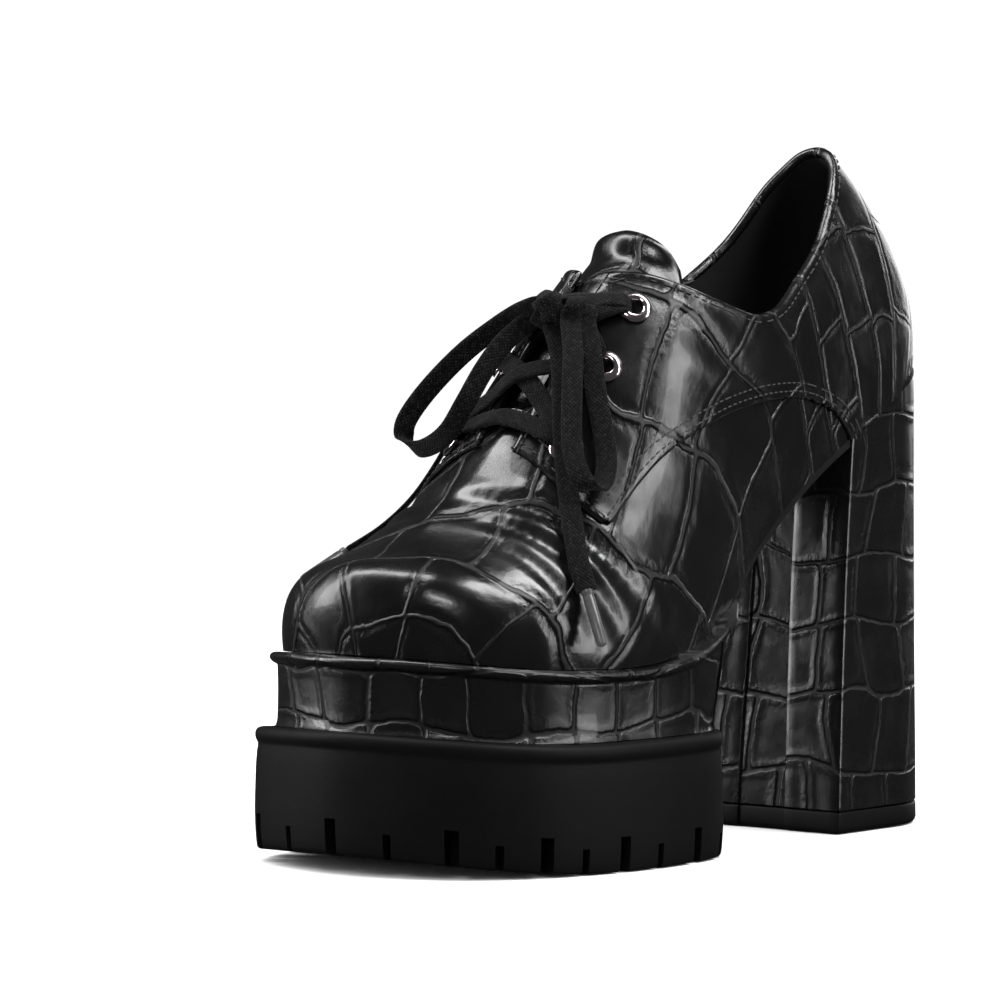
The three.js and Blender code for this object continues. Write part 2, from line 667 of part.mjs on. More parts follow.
// Lace over the instep from one eyelet of the outer row to one of the inner row, or part of it.
function crossing([u0, v0], [u1, v1], from = 0, to = 1) {
  const low = LAP + CLEAR + LACE_THICKNESS / 2 + 0.5;
  const high = LAP + 2 * CLEAR + 1.3 + LACE_THICKNESS / 2 + 0.15;
  const steps = Math.round(10 * Math.sqrt(to - from));
  return ribbon(Array.from({ length: steps + 1 }, (_, i) => {
    const t = mix(from, to, i / steps);
    const across = 2 * t - 1;
    const u = mix(u0, u1, t);
    const v = 1 - Math.abs(across) * (1 - mix(v0, v1, t));
    const place = across <= 0 ? u : 2 * LAST_STATION - u;
    const lift = mix(low, high, THREE.MathUtils.smoothstep(Math.abs(across), 0.45, 0.72));
    return { point: offLast(place, v, lift), normal: lastNormal(place, v) };
  }));
}

function buildLacing() {
  const [first, second, third] = EYELET_PLACES;
  const beyond = [8.5, 0.8];
  const runs = [
    [third, third], [third, second], [second, third], [second, first], [first, second],
    [first, beyond, 0, 0.36], [beyond, first, 0.64, 1],
  ];
  let lace = toSolid(crossing(...runs[0]));
  for (const run of runs.slice(1)) lace = lace.add(toSolid(crossing(...run)));
  return toGeometry(lace);
}

// The bow, hand-laid from the heel's centre line and back: x, y from HEEL_BACK, z from PLATFORM_TOP.
const KNOT_PLACE = [2.3, -153.2, 99.3];
const KNOT_SIZE = [4.4, 3.6, 4.8];
const BOW = {
  lace_loop_lateral: {
    across: [0.749, 0.663, 0],
    route: [
      [9.8, -153.2, 96.6], [15.2, -158.3, 88.1], [20.9, -165.3, 75.7], [25.8, -171, 63.3],
      [30, -173.7, 55.7], [33.1, -172.9, 50.9], [33.8, -168.3, 50.2], [32.2, -163.7, 54.2],
      [29.7, -160.7, 60.2], [25.8, -158.3, 68.5], [21.9, -156.2, 77], [17.2, -152.9, 88.4],
      [12.8, -150, 95.9],
    ],
  },
  lace_loop_medial: {
    across: [-0.524, -0.464, 0.7],
    route: [
      [-4.6, -155, 99.4], [-9.5, -155.2, 97.4], [-15.5, -157.5, 93.3], [-22.5, -160.9, 87.5],
      [-29.5, -164.3, 80.2], [-35.5, -167.5, 72.4], [-38.7, -169.8, 66], [-38.6, -170, 61.6],
      [-34, -170.8, 58.8], [-27, -171.9, 60], [-18.2, -174.2, 64.4], [-12.2, -173.9, 72.4],
      [-9.6, -169, 81.6], [-8.2, -163, 88.6], [-7, -158, 92.6],
    ],
  },
  lace_end_lateral: {
    facing: [0.55, -0.62, 0.56],
    route: [
      [5.8, -155, 91.8], [8.4, -156.4, 88], [11.4, -159, 83.2], [14.9, -162.6, 76.5],
      [18.4, -166.4, 68.6], [21.8, -169.6, 60.2], [26.2, -173.4, 51], [31.8, -177.7, 40.4],
      [37.5, -181.5, 29.9], [41.7, -182.8, 21.9],
    ],
  },
  lace_end_medial: {
    facing: [-0.7, -0.45, 0.52],
    route: [
      [-8.5, -149.8, 95.9], [-16.9, -149.9, 92.2], [-24, -149.8, 85.2], [-28.2, -152.2, 74.4],
      [-31.8, -156.4, 63.5], [-35.6, -161, 53], [-39.7, -167.1, 43.2], [-43.9, -176.1, 34.8],
      [-46.3, -187, 29.2],
    ],
  },
};

function bowPoint([x, y, z]) {
  return new THREE.Vector3(AXIS_X + x, HEEL_BACK + y, PLATFORM_TOP + z);
}

function buildCord(name) {
  const { route, facing, across } = BOW[name];
  const normal = facing && new THREE.Vector3(...facing).normalize();
  const width = across && new THREE.Vector3(...across).normalize();
  const curve = new THREE.CatmullRomCurve3(route.map(bowPoint));
  return ribbon(curve.getPoints(route.length * 2).map((point) => ({ point, normal, width })));
}

function buildAglet(name) {
  const route = BOW[name].route.map(bowPoint);
  const end = route[route.length - 1];
  const along = end.clone().sub(route[route.length - 2]).normalize();
  const turn = new THREE.Quaternion().setFromUnitVectors(new THREE.Vector3(0, 1, 0), along);
  const place = end.clone().addScaledVector(along, AGLET_LENGTH / 2 + CLEAR);
  return new THREE.CylinderGeometry(AGLET_RADIUS, AGLET_RADIUS, AGLET_LENGTH, 10)
    .applyQuaternion(turn)
    .translate(place.x, place.y, place.z);
}

function buildKnot() {
  const [x, y, z] = bowPoint(KNOT_PLACE).toArray();
  return new THREE.SphereGeometry(1, 12, 8).scale(...KNOT_SIZE).translate(x, y, z);
}

const shoe = new THREE.Group();

function addPiece(name, geometry, material) {
  const mesh = new THREE.Mesh(tidy(geometry), new THREE.MeshStandardMaterial(MATERIALS[material]));
  mesh.geometry.computeVertexNormals();
  mesh.name = name;
  shoe.add(mesh);
}

addPiece('outsole', buildOutsole(), 'rubber');
addPiece('platform', toGeometry(platformBody(0)), 'leather');
addPiece('waist_cover', buildWaist(), 'waist');
addPiece('heel', buildHeel(), 'leather');
addPiece('top_lift', buildLift(), 'rubber');
addPiece('insole', buildInsole(), 'lining');
addPiece('upper', buildUpper(), 'leather');
addPiece('tongue', buildTongue(), 'leather');
for (const { name, u, v } of eyeletSides()) {
  addPiece(name, seatOnLast(eyeletRing(), u, v, LAP + CLEAR), 'chrome');
}
addPiece('lacing', buildLacing(), 'lace');
addPiece('lace_knot', buildKnot(), 'lace');
for (const name of Object.keys(BOW)) addPiece(name, buildCord(name), 'lace');
addPiece('aglet_lateral', buildAglet('lace_end_lateral'), 'aglet');
addPiece('aglet_medial', buildAglet('lace_end_medial'), 'aglet');

export default shoe;
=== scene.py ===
# %% [markdown]
# A laced platform shoe for the left foot: glossy black leather embossed with large scales,
# a notched rubber sole, a tall block heel, six metal eyelets and a flat lace in a bow.
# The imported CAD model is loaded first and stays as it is. Each leather part is then rebuilt
# finer, from the same few sizes and section tables, and takes the place of its plain solid.

# %% Frame
import math
import bmesh
import bpy
import numpy as np
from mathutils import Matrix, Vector


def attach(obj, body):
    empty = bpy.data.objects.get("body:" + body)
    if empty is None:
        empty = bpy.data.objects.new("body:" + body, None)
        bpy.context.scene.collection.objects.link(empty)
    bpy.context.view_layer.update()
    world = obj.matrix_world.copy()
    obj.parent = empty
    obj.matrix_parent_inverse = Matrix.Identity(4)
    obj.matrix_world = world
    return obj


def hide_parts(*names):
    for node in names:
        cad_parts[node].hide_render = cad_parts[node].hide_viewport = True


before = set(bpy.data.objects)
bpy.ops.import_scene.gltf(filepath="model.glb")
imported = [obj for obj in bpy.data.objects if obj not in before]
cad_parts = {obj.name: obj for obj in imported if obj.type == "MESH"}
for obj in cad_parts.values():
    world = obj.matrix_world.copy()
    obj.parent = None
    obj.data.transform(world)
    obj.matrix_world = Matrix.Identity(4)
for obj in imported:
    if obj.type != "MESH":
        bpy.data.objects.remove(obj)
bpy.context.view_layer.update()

# %% [markdown]
# The driving sizes are the shoe's own, in metres. The last is the wooden or plastic foot that a
# shoe is built round. Everything that touches the upper takes its place from the last's sections.

# %% Sizes
MM = 0.001
LAST_LENGTH = 226 * MM
BALL_WIDTH = 95.5 * MM
PLATFORM_TOP = 57 * MM
SEAT_RISE = 81.5 * MM
LAST_HEIGHT = 156 * MM
HEEL_BACK = 116.2 * MM
AXIS_X = 4.74 * MM
WALL = 1.8 * MM
LAP = 1.2 * MM
CLEAR = 0.3 * MM
RUBBER_HEIGHT = 36.1 * MM
BOTTOM_SPRING = 5 * MM
RIM_SPRING = 3.5 * MM
REAR_LEAN = 9 * MM
LIFT_HEIGHT = 6.6 * MM
HEEL_WIDTH = 60 * MM
HEEL_DEPTH = 57 * MM
HEEL_SET_BACK = 1 * MM
THROAT_GAP = 13 * MM
TONGUE_CLEAR = 0.75 * MM
TONGUE_THICKNESS = 2 * MM
TONGUE_FLARE = 3 * MM
TONGUE_WIDTH = 50 * MM
LACE_WIDTH = 6 * MM
LACE_THICKNESS = 1.2 * MM

# Shares: y and ridgeY of LAST_LENGTH; outer, inner, ridgeX and top of BALL_WIDTH; feather of
# SEAT_RISE; ridge, up and drop of LAST_HEIGHT. Columns:
# y, outer, inner, feather, ridgeX, ridgeY, ridge, up, lean, top, drop, fan
SECTIONS = np.array([
    [0.000, 0.000, 0.000, 1.000, 0.000, 0.195, 1.000, 0.167, 0.21, 0.283, 0.141, 1.0],
    [0.030, 0.164, -0.164, 0.972, 0.000, 0.199, 1.000, 0.167, 0.19, 0.262, 0.141, 1.0],
    [0.087, 0.251, -0.251, 0.902, 0.000, 0.217, 1.000, 0.179, 0.13, 0.199, 0.128, 1.0],
    [0.168, 0.288, -0.277, 0.791, 0.000, 0.257, 0.994, 0.205, 0.05, 0.105, 0.090, 0.6],
    [0.257, 0.293, -0.257, 0.663, 0.000, 0.341, 0.955, 0.231, 0.03, 0.157, 0.038, 0.3],
    [0.345, 0.309, -0.251, 0.515, 0.000, 0.434, 0.872, 0.231, 0.03, 0.314, 0.019, 0.0],
    [0.434, 0.346, -0.272, 0.350, 0.000, 0.522, 0.776, 0.231, 0.00, 0.356, 0.013, 0.0],
    [0.522, 0.403, -0.340, 0.153, 0.000, 0.606, 0.672, 0.218, 0.00, 0.356, 0.013, 0.0],
    [0.611, 0.445, -0.429, 0.037, -0.016, 0.686, 0.534, 0.179, 0.02, 0.356, 0.016, 0.0],
    [0.704, 0.461, -0.503, -0.002, -0.031, 0.757, 0.395, 0.154, 0.06, 0.356, 0.024, 0.0],
    [0.796, 0.445, -0.539, -0.002, -0.052, 0.823, 0.301, 0.141, 0.08, 0.356, 0.026, 0.2],
    [0.889, 0.387, -0.527, 0.012, -0.063, 0.881, 0.240, 0.141, 0.10, 0.335, 0.026, 0.5],
    [0.967, 0.246, -0.424, 0.037, -0.068, 0.920, 0.208, 0.147, 0.12, 0.272, 0.013, 1.0],
    [1.000, -0.084, -0.084, 0.049, -0.079, 0.940, 0.199, 0.147, 0.12, 0.157, 0.006, 1.0],
])
# Outline of the platform from above: y, outer, inner
PLATFORM_OUTLINE = np.array([
    [0.515, 0.018, 0.018],
    [0.525, 0.281, -0.227],
    [0.568, 0.427, -0.366],
    [0.655, 0.482, -0.476],
    [0.743, 0.492, -0.560],
    [0.832, 0.466, -0.592],
    [0.912, 0.398, -0.565],
    [0.982, 0.241, -0.445],
    [1.020, -0.094, -0.094],
])
# Side views, as shares of LAST_LENGTH from the heel back and of LAST_HEIGHT above the platform
TOP_LINE = np.array([
    [0.133, 0.926], [0.141, 0.914], [0.152, 0.890], [0.173, 0.853], [0.201, 0.798],
    [0.226, 0.756], [0.252, 0.724], [0.288, 0.689], [0.319, 0.660], [0.354, 0.634],
    [0.394, 0.622], [0.425, 0.626], [0.482, 0.654], [0.522, 0.679], [0.556, 0.699],
    [0.577, 0.702], [0.595, 0.693], [0.606, 0.672],
])
QUARTER_EDGE = np.array([
    [0.758, 0.392], [0.757, 0.317], [0.742, 0.270], [0.726, 0.255], [0.700, 0.285],
    [0.664, 0.328], [0.615, 0.376], [0.554, 0.415], [0.487, 0.444], [0.416, 0.461],
    [0.354, 0.465], [0.301, 0.458], [0.250, 0.432], [0.222, 0.395], [0.208, 0.350],
])
STATIONS = len(SECTIONS) - 1
EYELET_PLACES = [(6.94, 0.8), (7.69, 0.785), (8.7, 0.765)]
print("last", LAST_LENGTH, "long,", STATIONS, "sections a side")

# %% [markdown]
# The camera stands low and far, as for a catalogue picture, a little above the toe and turned
# 41.5 degrees toward the outer side. Its pitch comes from the horizon, 433 pixels above the
# picture's middle, and its distance from a corner of the heel whose place is known.

# %% Camera
PICTURE = 1000
FOCAL_PIXELS = 7500
AZIMUTH = math.radians(41.5)
HORIZON_ROW = 67
CORNER_PIXEL = (838.7, 834.5)
CORNER_SCALE = 3.40 / MM
pitch = math.atan((PICTURE / 2 - HORIZON_ROW) / FOCAL_PIXELS)
backward = Vector((math.sin(AZIMUTH) * math.cos(pitch), -math.cos(AZIMUTH) * math.cos(pitch), math.sin(pitch)))
rightward = Vector((math.cos(AZIMUTH), math.sin(AZIMUTH), 0))
upward = backward.cross(rightward)
heel_corner = Vector((AXIS_X + HEEL_WIDTH / 2, HEEL_BACK + HEEL_SET_BACK - HEEL_DEPTH, 0))
depth = FOCAL_PIXELS / CORNER_SCALE
aside = (CORNER_PIXEL[0] - PICTURE / 2) / FOCAL_PIXELS
above = (PICTURE / 2 - CORNER_PIXEL[1]) / FOCAL_PIXELS
camera = bpy.data.objects.new("camera", bpy.data.cameras.new("camera"))
bpy.context.collection.objects.link(camera)
camera.location = heel_corner - depth * (aside * rightward + above * upward - backward)
camera.rotation_euler = backward.to_track_quat("Z", "Y").to_euler()
camera.data.sensor_width = 36
camera.data.lens = 36 * FOCAL_PIXELS / PICTURE
camera.data.clip_end = 20
bpy.context.scene.camera = camera
print("camera at", tuple(round(c, 3) for c in camera.location), "lens", camera.data.lens)

# %% [markdown]
# A smooth curve through rows of numbers gives any place between two sections. Read as a ring,
# the table runs out along the outer side to the toe and back along the inner side.

# %% Curves through tables
def closed_ring(table):
    last = len(table) - 1
    outer = np.column_stack([table[:, 1], table[:, 0], table[:, 3:]])
    inner = np.column_stack([table[:, 2], table[:, 0], table[:, 3:]])
    return np.vstack([outer, inner[last - 1:0:-1]])


def along(rows, t, closed=True):
    t = np.asarray(t, float)
    k = np.floor(t).astype(int)
    f = (t - k)[..., None]
    pick = (lambda i: rows[i % len(rows)]) if closed else (lambda i: rows[np.clip(i, 0, len(rows) - 1)])
    a, b, c, d = (pick(k + i) for i in (-1, 0, 1, 2))
    leave, arrive = (c - a) / 2, (d - b) / 2
    return (2 * f**3 - 3 * f**2 + 1) * b + (f**3 - 2 * f**2 + f) * leave \
        + (3 * f**2 - 2 * f**3) * c + (f**3 - f**2) * arrive


def unit(vectors):
    return vectors / np.maximum(np.linalg.norm(vectors, axis=-1, keepdims=True), 1e-12)


def smooth(value, low, high):
    t = np.clip((np.asarray(value, float) - low) / (high - low), 0, 1)
    return t * t * (3 - 2 * t)


def smooth_line(points, steps, closed=False):
    count = len(points) if closed else len(points) - 1
    return along(np.asarray(points, float), np.linspace(0, count, count * steps + 1), closed)


# %% Surface of the last
LAST_RING = closed_ring(SECTIONS)
TURN = 2 * STATIONS


def section(u):
    row = along(LAST_RING, u)
    foot = np.stack([AXIS_X + row[..., 0] * BALL_WIDTH, HEEL_BACK - row[..., 1] * LAST_LENGTH,
                     PLATFORM_TOP + row[..., 2] * SEAT_RISE], -1)
    ridge = np.stack([AXIS_X + row[..., 3] * BALL_WIDTH, HEEL_BACK - row[..., 4] * LAST_LENGTH,
                      PLATFORM_TOP + row[..., 5] * LAST_HEIGHT], -1)
    return foot, ridge, row[..., 6:]


def outward(before, after):
    along_edge = unit(after[..., :2] - before[..., :2])
    return np.stack([-along_edge[..., 1], along_edge[..., 0]], -1)


def last_points(u, v):
    foot, ridge, (up, lean, top, drop, fan) = (lambda s: (s[0], s[1], np.moveaxis(s[2], -1, 0)))(section(u))
    normal = outward(section(u - 0.05)[0], section(u + 0.05)[0])
    rise = foot + (up * LAST_HEIGHT)[..., None] * np.stack(
        [lean * normal[..., 0], lean * normal[..., 1], np.ones_like(lean)], -1)
    reach = foot - ridge
    reach[..., 1] *= fan
    reach[..., 2] = 0
    reach = unit(reach) * (top * BALL_WIDTH)[..., None]
    reach[..., 2] = -drop * LAST_HEIGHT
    v = np.asarray(v, float)[..., None]
    w = 1 - v
    return w**3 * foot + 3 * w * w * v * rise + 3 * w * v * v * (ridge + reach) + v**3 * ridge


def side_normals(u, v):
    step = last_points(u + 0.04, v) - last_points(u - 0.04, v)
    climb = last_points(u, np.minimum(v + 0.01, 1)) - last_points(u, np.maximum(v - 0.01, 0))
    return unit(np.cross(climb, step))


def last_normals(u, v):
    u, v = np.broadcast_arrays(np.asarray(u, float), np.asarray(v, float))
    low = np.minimum(v, 0.985)
    own = side_normals(u, low)
    other = side_normals(TURN - u, low)
    share = smooth(v, 0.965, 1)[..., None]
    return unit(own + share * other)


def off_last(u, v, distance):
    u, v = np.broadcast_arrays(np.asarray(u, float), np.asarray(v, float))
    return last_points(u, v) + last_normals(u, v) * np.asarray(distance, float)[..., None]


FEATHER = section(np.linspace(0, STATIONS, 400))[0]


def bottom_at(y):
    return np.interp(-np.asarray(y, float), -FEATHER[:, 1], FEATHER[:, 2])


probe = last_points(np.array([0.0, 6.5, 13.0]), np.array([0.5, 0.5, 0.5]))
print("three places on the last, in mm", (probe / MM).round(1).tolist())

# %% [markdown]
# Leather is cut from a flat hide and bent over the last. A panel here is a fine grid on the
# last's surface, cut along real lines: a field gives each corner its distance from a line, and
# faces that the line crosses are cut in two. The cut panel then gets its outer and inner side.

# %% Panels
def grid_panel(u_steps, v_values):
    us = np.linspace(0.0, TURN, u_steps + 1)[:-1]
    nu, nv = len(us), len(v_values)
    uv = np.stack(np.meshgrid(us, v_values), -1).reshape(-1, 2)
    faces = []
    for j in range(nv - 1):
        for i in range(nu):
            k = (i + 1) % nu
            faces.append([j * nu + i, j * nu + k, (j + 1) * nu + k, (j + 1) * nu + i])
    return uv, faces


def cut(panel, field, levels, keep=True):
    uv, faces = panel
    for level in levels:
        value = field(uv) - level
        value[np.abs(value) < 1e-9] = 0
        uv_list, value_list = list(map(tuple, uv)), list(value)
        crossing, kept = {}, []
        for face in faces:
            signs = [value_list[i] for i in face]
            if min(signs) >= 0:
                kept.append(face)
                continue
            if max(signs) <= 0:
                if not keep or level > min(levels):
                    kept.append(face)
                continue
            inside, outside = [], []
            for a, b in zip(face, face[1:] + face[:1]):
                va, vb = value_list[a], value_list[b]
                if va >= 0:
                    inside.append(a)
                if va <= 0:
                    outside.append(a)
                if va * vb < 0:
                    key = (min(a, b), max(a, b))
                    if key not in crossing:
                        lo, hi = key
                        t = value_list[lo] / (value_list[lo] - value_list[hi])
                        (u0, v0), (u1, v1) = uv_list[lo], uv_list[hi]
                        if abs(u1 - u0) > STATIONS:
                            u1 += TURN if u1 < u0 else -TURN
                        crossing[key] = len(uv_list)
                        uv_list.append(((u0 + t * (u1 - u0)) % TURN, v0 + t * (v1 - v0)))
                        value_list.append(0.0)
                    inside.append(crossing[key])
                    outside.append(crossing[key])
            kept.append(inside)
            if not keep or level > min(levels):
                kept.append(outside)
        faces = [f for f in kept if len(f) > 2]
        uv = np.array(uv_list)
    used = np.unique(np.concatenate(faces))
    renumber = np.full(len(uv), -1)
    renumber[used] = np.arange(len(used))
    return uv[used], [[int(renumber[i]) for i in f] for f in faces]


def line_distance(points, line, closing):
    # Distance to the line in the plane, positive inside the outline that the closing makes
    best = np.full(len(points), 1e9)
    for start, end in zip(line[:-1], line[1:]):
        step = end - start
        rel = points - start
        t = np.clip((rel @ step) / max(step @ step, 1e-18), 0, 1)
        best = np.minimum(best, np.hypot(*(rel - t[:, None] * step).T))
    outline = np.vstack([line, closing])
    inside = np.zeros(len(points), bool)
    y, z = points.T
    for (y0, z0), (y1, z1) in zip(outline, np.roll(outline, -1, 0)):
        crosses = (z0 > z) != (z1 > z)
        inside ^= crosses & (y < (y1 - y0) * (z - z0) / (z1 - z0 if z1 != z0 else 1e-12) + y0)
    return np.where(inside, best, -best)


def side_view(table):
    line = np.column_stack([HEEL_BACK - table[:, 0] * LAST_LENGTH, PLATFORM_TOP + table[:, 1] * LAST_HEIGHT])
    return smooth_line(line, 4)


SKY = PLATFORM_TOP + LAST_HEIGHT * 1.4
BEHIND = HEEL_BACK + 0.1 * LAST_LENGTH
COLLAR = side_view(TOP_LINE)
COLLAR = np.vstack([[BEHIND, COLLAR[0, 1]], COLLAR, [COLLAR[-1, 0], SKY]])
SEAM = side_view(QUARTER_EDGE)
SEAM = np.vstack([[SEAM[0, 0], SKY], SEAM, [SEAM[-1, 0], 0]])
THROAT_X = AXIS_X + SECTIONS[9][4] * BALL_WIDTH
TAB_FRONT = HEEL_BACK - 0.78 * LAST_LENGTH
VAMP_END = HEEL_BACK - 0.725 * LAST_LENGTH
THROAT_TOP = HEEL_BACK - 0.6 * LAST_LENGTH


def throat_distance(points, front):
    y = points[:, 1]
    t = np.clip((y - front) / (THROAT_TOP - front), 0, 1)
    centre = THROAT_X + t * (AXIS_X - THROAT_X)
    half = THROAT_GAP / 2 * (1 - 0.15 * t)
    beside = np.abs(points[:, 0] - centre) - half
    ahead = front - y
    low = PLATFORM_TOP + 0.24 * LAST_HEIGHT - points[:, 2]
    corner = np.hypot(np.maximum(beside, 0), np.maximum(ahead, 0))
    gap = np.where((beside > 0) & (ahead > 0), corner, np.maximum(beside, ahead))
    behind = y - (HEEL_BACK - 0.45 * LAST_LENGTH)
    return np.maximum(np.maximum(gap, low), behind)


def surface_of(uv):
    return last_points(uv[:, 0], np.maximum(uv[:, 1], 0))


def collar_field(uv):
    return -line_distance(surface_of(uv)[:, 1:], COLLAR, [[BEHIND, SKY]])


def seam_field(uv):
    return line_distance(surface_of(uv)[:, 1:], SEAM, [[BEHIND, 0], [BEHIND, SKY]])


def throat_field(uv, front=TAB_FRONT):
    return throat_distance(surface_of(uv), front)


print("collar line of", len(COLLAR), "places, seam of", len(SEAM))

# %% Meshes
def new_object(name, positions, faces, uv=None):
    mesh = bpy.data.meshes.new(name)
    mesh.from_pydata([tuple(p) for p in positions], [], faces)
    if uv is not None:
        layer = mesh.uv_layers.new(name="skin")
        corner = np.empty(len(mesh.loops), int)
        mesh.loops.foreach_get("vertex_index", corner)
        layer.data.foreach_set("uv", np.asarray(uv)[corner].astype(np.float32).ravel())
    piece = bpy.data.objects.new(name, mesh)
    bpy.context.collection.objects.link(piece)
    return piece


def finish_mesh(piece, angle=50, weld=2e-6, recalc=False):
    work = bmesh.new()
    work.from_mesh(piece.data)
    bmesh.ops.remove_doubles(work, verts=work.verts, dist=weld)
    bmesh.ops.dissolve_degenerate(work, edges=work.edges, dist=1e-7)
    if recalc:
        bmesh.ops.recalc_face_normals(work, faces=work.faces)
    work.to_mesh(piece.data)
    work.free()
    piece.data.polygons.foreach_set("use_smooth", [True] * len(piece.data.polygons))
    piece.data.set_sharp_from_angle(angle=math.radians(angle))
    return piece


def chart(uv):
    # The leather laid flat: from the ridge outward by the true length over the last, in metres
    u, v = uv[:, 0], np.clip(uv[:, 1], 0, 1)
    foot, ridge, shape = section(u)
    climb = v[:, None] + (1 - v[:, None]) * np.linspace(0, 1, 15)
    girth = np.linalg.norm(np.diff(last_points(u[:, None], climb), axis=1), axis=2).sum(1)
    way = foot[:, :2] - ridge[:, :2]
    way[:, 1] *= np.clip(shape[:, 4], 0, 1)
    return ridge[:, :2] + unit(way) * girth[:, None]


def panel_shell(name, panel, outer, inner, relief=None):
    # Closed shell between two offsets of the last, with rims round every open edge
    uv, faces = panel
    edge_count = {}
    for face in faces:
        for a, b in zip(face, face[1:] + face[:1]):
            edge_count[(a, b)] = edge_count.get((a, b), 0) + 1
    count = len(uv)
    tuck = np.maximum(-uv[:, 1], 0)
    top = off_last(uv[:, 0], np.maximum(uv[:, 1], 0), outer(uv))
    low = off_last(uv[:, 0], np.maximum(uv[:, 1], 0), inner(uv))
    if relief is not None:
        top = top + last_normals(uv[:, 0], np.maximum(uv[:, 1], 0)) * relief(top, uv)[:, None]
    inward = last_normals(uv[:, 0], np.zeros(count)) * [1, 1, 0]
    top = top - inward * tuck[:, None]
    low = low - inward * tuck[:, None]
    rims = []
    for (a, b), _ in edge_count.items():
        if (b, a) not in edge_count and not (uv[a, 1] > 1 - 1e-6 and uv[b, 1] > 1 - 1e-6):
            rims.append([b, a, a + count, b + count])
    shell = [list(f) for f in faces] + [[i + count for i in reversed(f)] for f in faces] + rims
    flat = chart(uv)
    piece = new_object(name, np.vstack([top, low]), shell, np.vstack([flat, flat]))
    return finish_mesh(piece)


print("mesh helpers ready")

# %% [markdown]
# Shader maths reads best as a sum or product, so a small class wraps a socket and turns the
# usual operators into Math nodes. One method adds any other node, its settings first.

# %% Shader writing
class Signal:
    def __init__(self, paint, socket):
        self.paint, self.socket = paint, socket

    def _math(self, operation, first, second=None):
        values = {0: first} if second is None else {0: first, 1: second}
        return self.paint.add("ShaderNodeMath", {"operation": operation}, values)

    def __add__(self, other): return self._math("ADD", self, other)
    def __radd__(self, other): return self._math("ADD", other, self)
    def __sub__(self, other): return self._math("SUBTRACT", self, other)
    def __rsub__(self, other): return self._math("SUBTRACT", other, self)
    def __mul__(self, other): return self._math("MULTIPLY", self, other)
    def __rmul__(self, other): return self._math("MULTIPLY", other, self)
    def least(self, other): return self._math("MINIMUM", self, other)
    def sine(self): return self._math("SINE", self)
    def floor(self): return self._math("FLOOR", self)
    def fraction(self): return self._math("FRACT", self)

    def between(self, low, high):
        return self.paint.add("ShaderNodeMapRange", {"interpolation_type": "SMOOTHSTEP"},
                              {"Value": self, "From Min": low, "From Max": high})


class Paint:
    def __init__(self, name):
        self.material = bpy.data.materials.new(name)
        self.material.use_nodes = True
        self.nodes = self.material.node_tree.nodes
        self.links = self.material.node_tree.links
        self.nodes.clear()

    def add(self, kind, settings=None, inputs=None, out=0):
        node = self.nodes.new(kind)
        for key, value in (settings or {}).items():
            setattr(node, key, value)
        for key, value in (inputs or {}).items():
            if isinstance(value, Signal):
                self.links.new(value.socket, node.inputs[key])
            else:
                node.inputs[key].default_value = value
        return Signal(self, node.outputs[out]) if len(node.outputs) else node

    def place(self):
        return self.add("ShaderNodeTexCoord", out="Object")

    def skin(self):
        return self.add("ShaderNodeUVMap", {"uv_map": "skin"})

    def noise(self, vector, scale, detail=3, rough=0.5):
        return self.add("ShaderNodeTexNoise", None,
                        {"Vector": vector, "Scale": scale, "Detail": detail, "Roughness": rough})

    def mix(self, share, low, high):
        return self.add("ShaderNodeMix", {"data_type": "RGBA"}, {"Factor": share, 6: low, 7: high}, out=2)

    def bump(self, height, distance, strength=1.0, normal=None):
        inputs = {"Height": height, "Distance": distance, "Strength": strength}
        if normal is not None:
            inputs["Normal"] = normal
        return self.add("ShaderNodeBump", None, inputs)

    def finish(self, **values):
        shader = self.add("ShaderNodeBsdfPrincipled", None,
                          {k.replace("_", " "): v for k, v in values.items()})
        self.add("ShaderNodeOutputMaterial", None, {"Surface": shader})
        return self.material


def wear(piece, material):
    piece.data.materials.clear()
    piece.data.materials.append(material)


print("shader helpers ready")
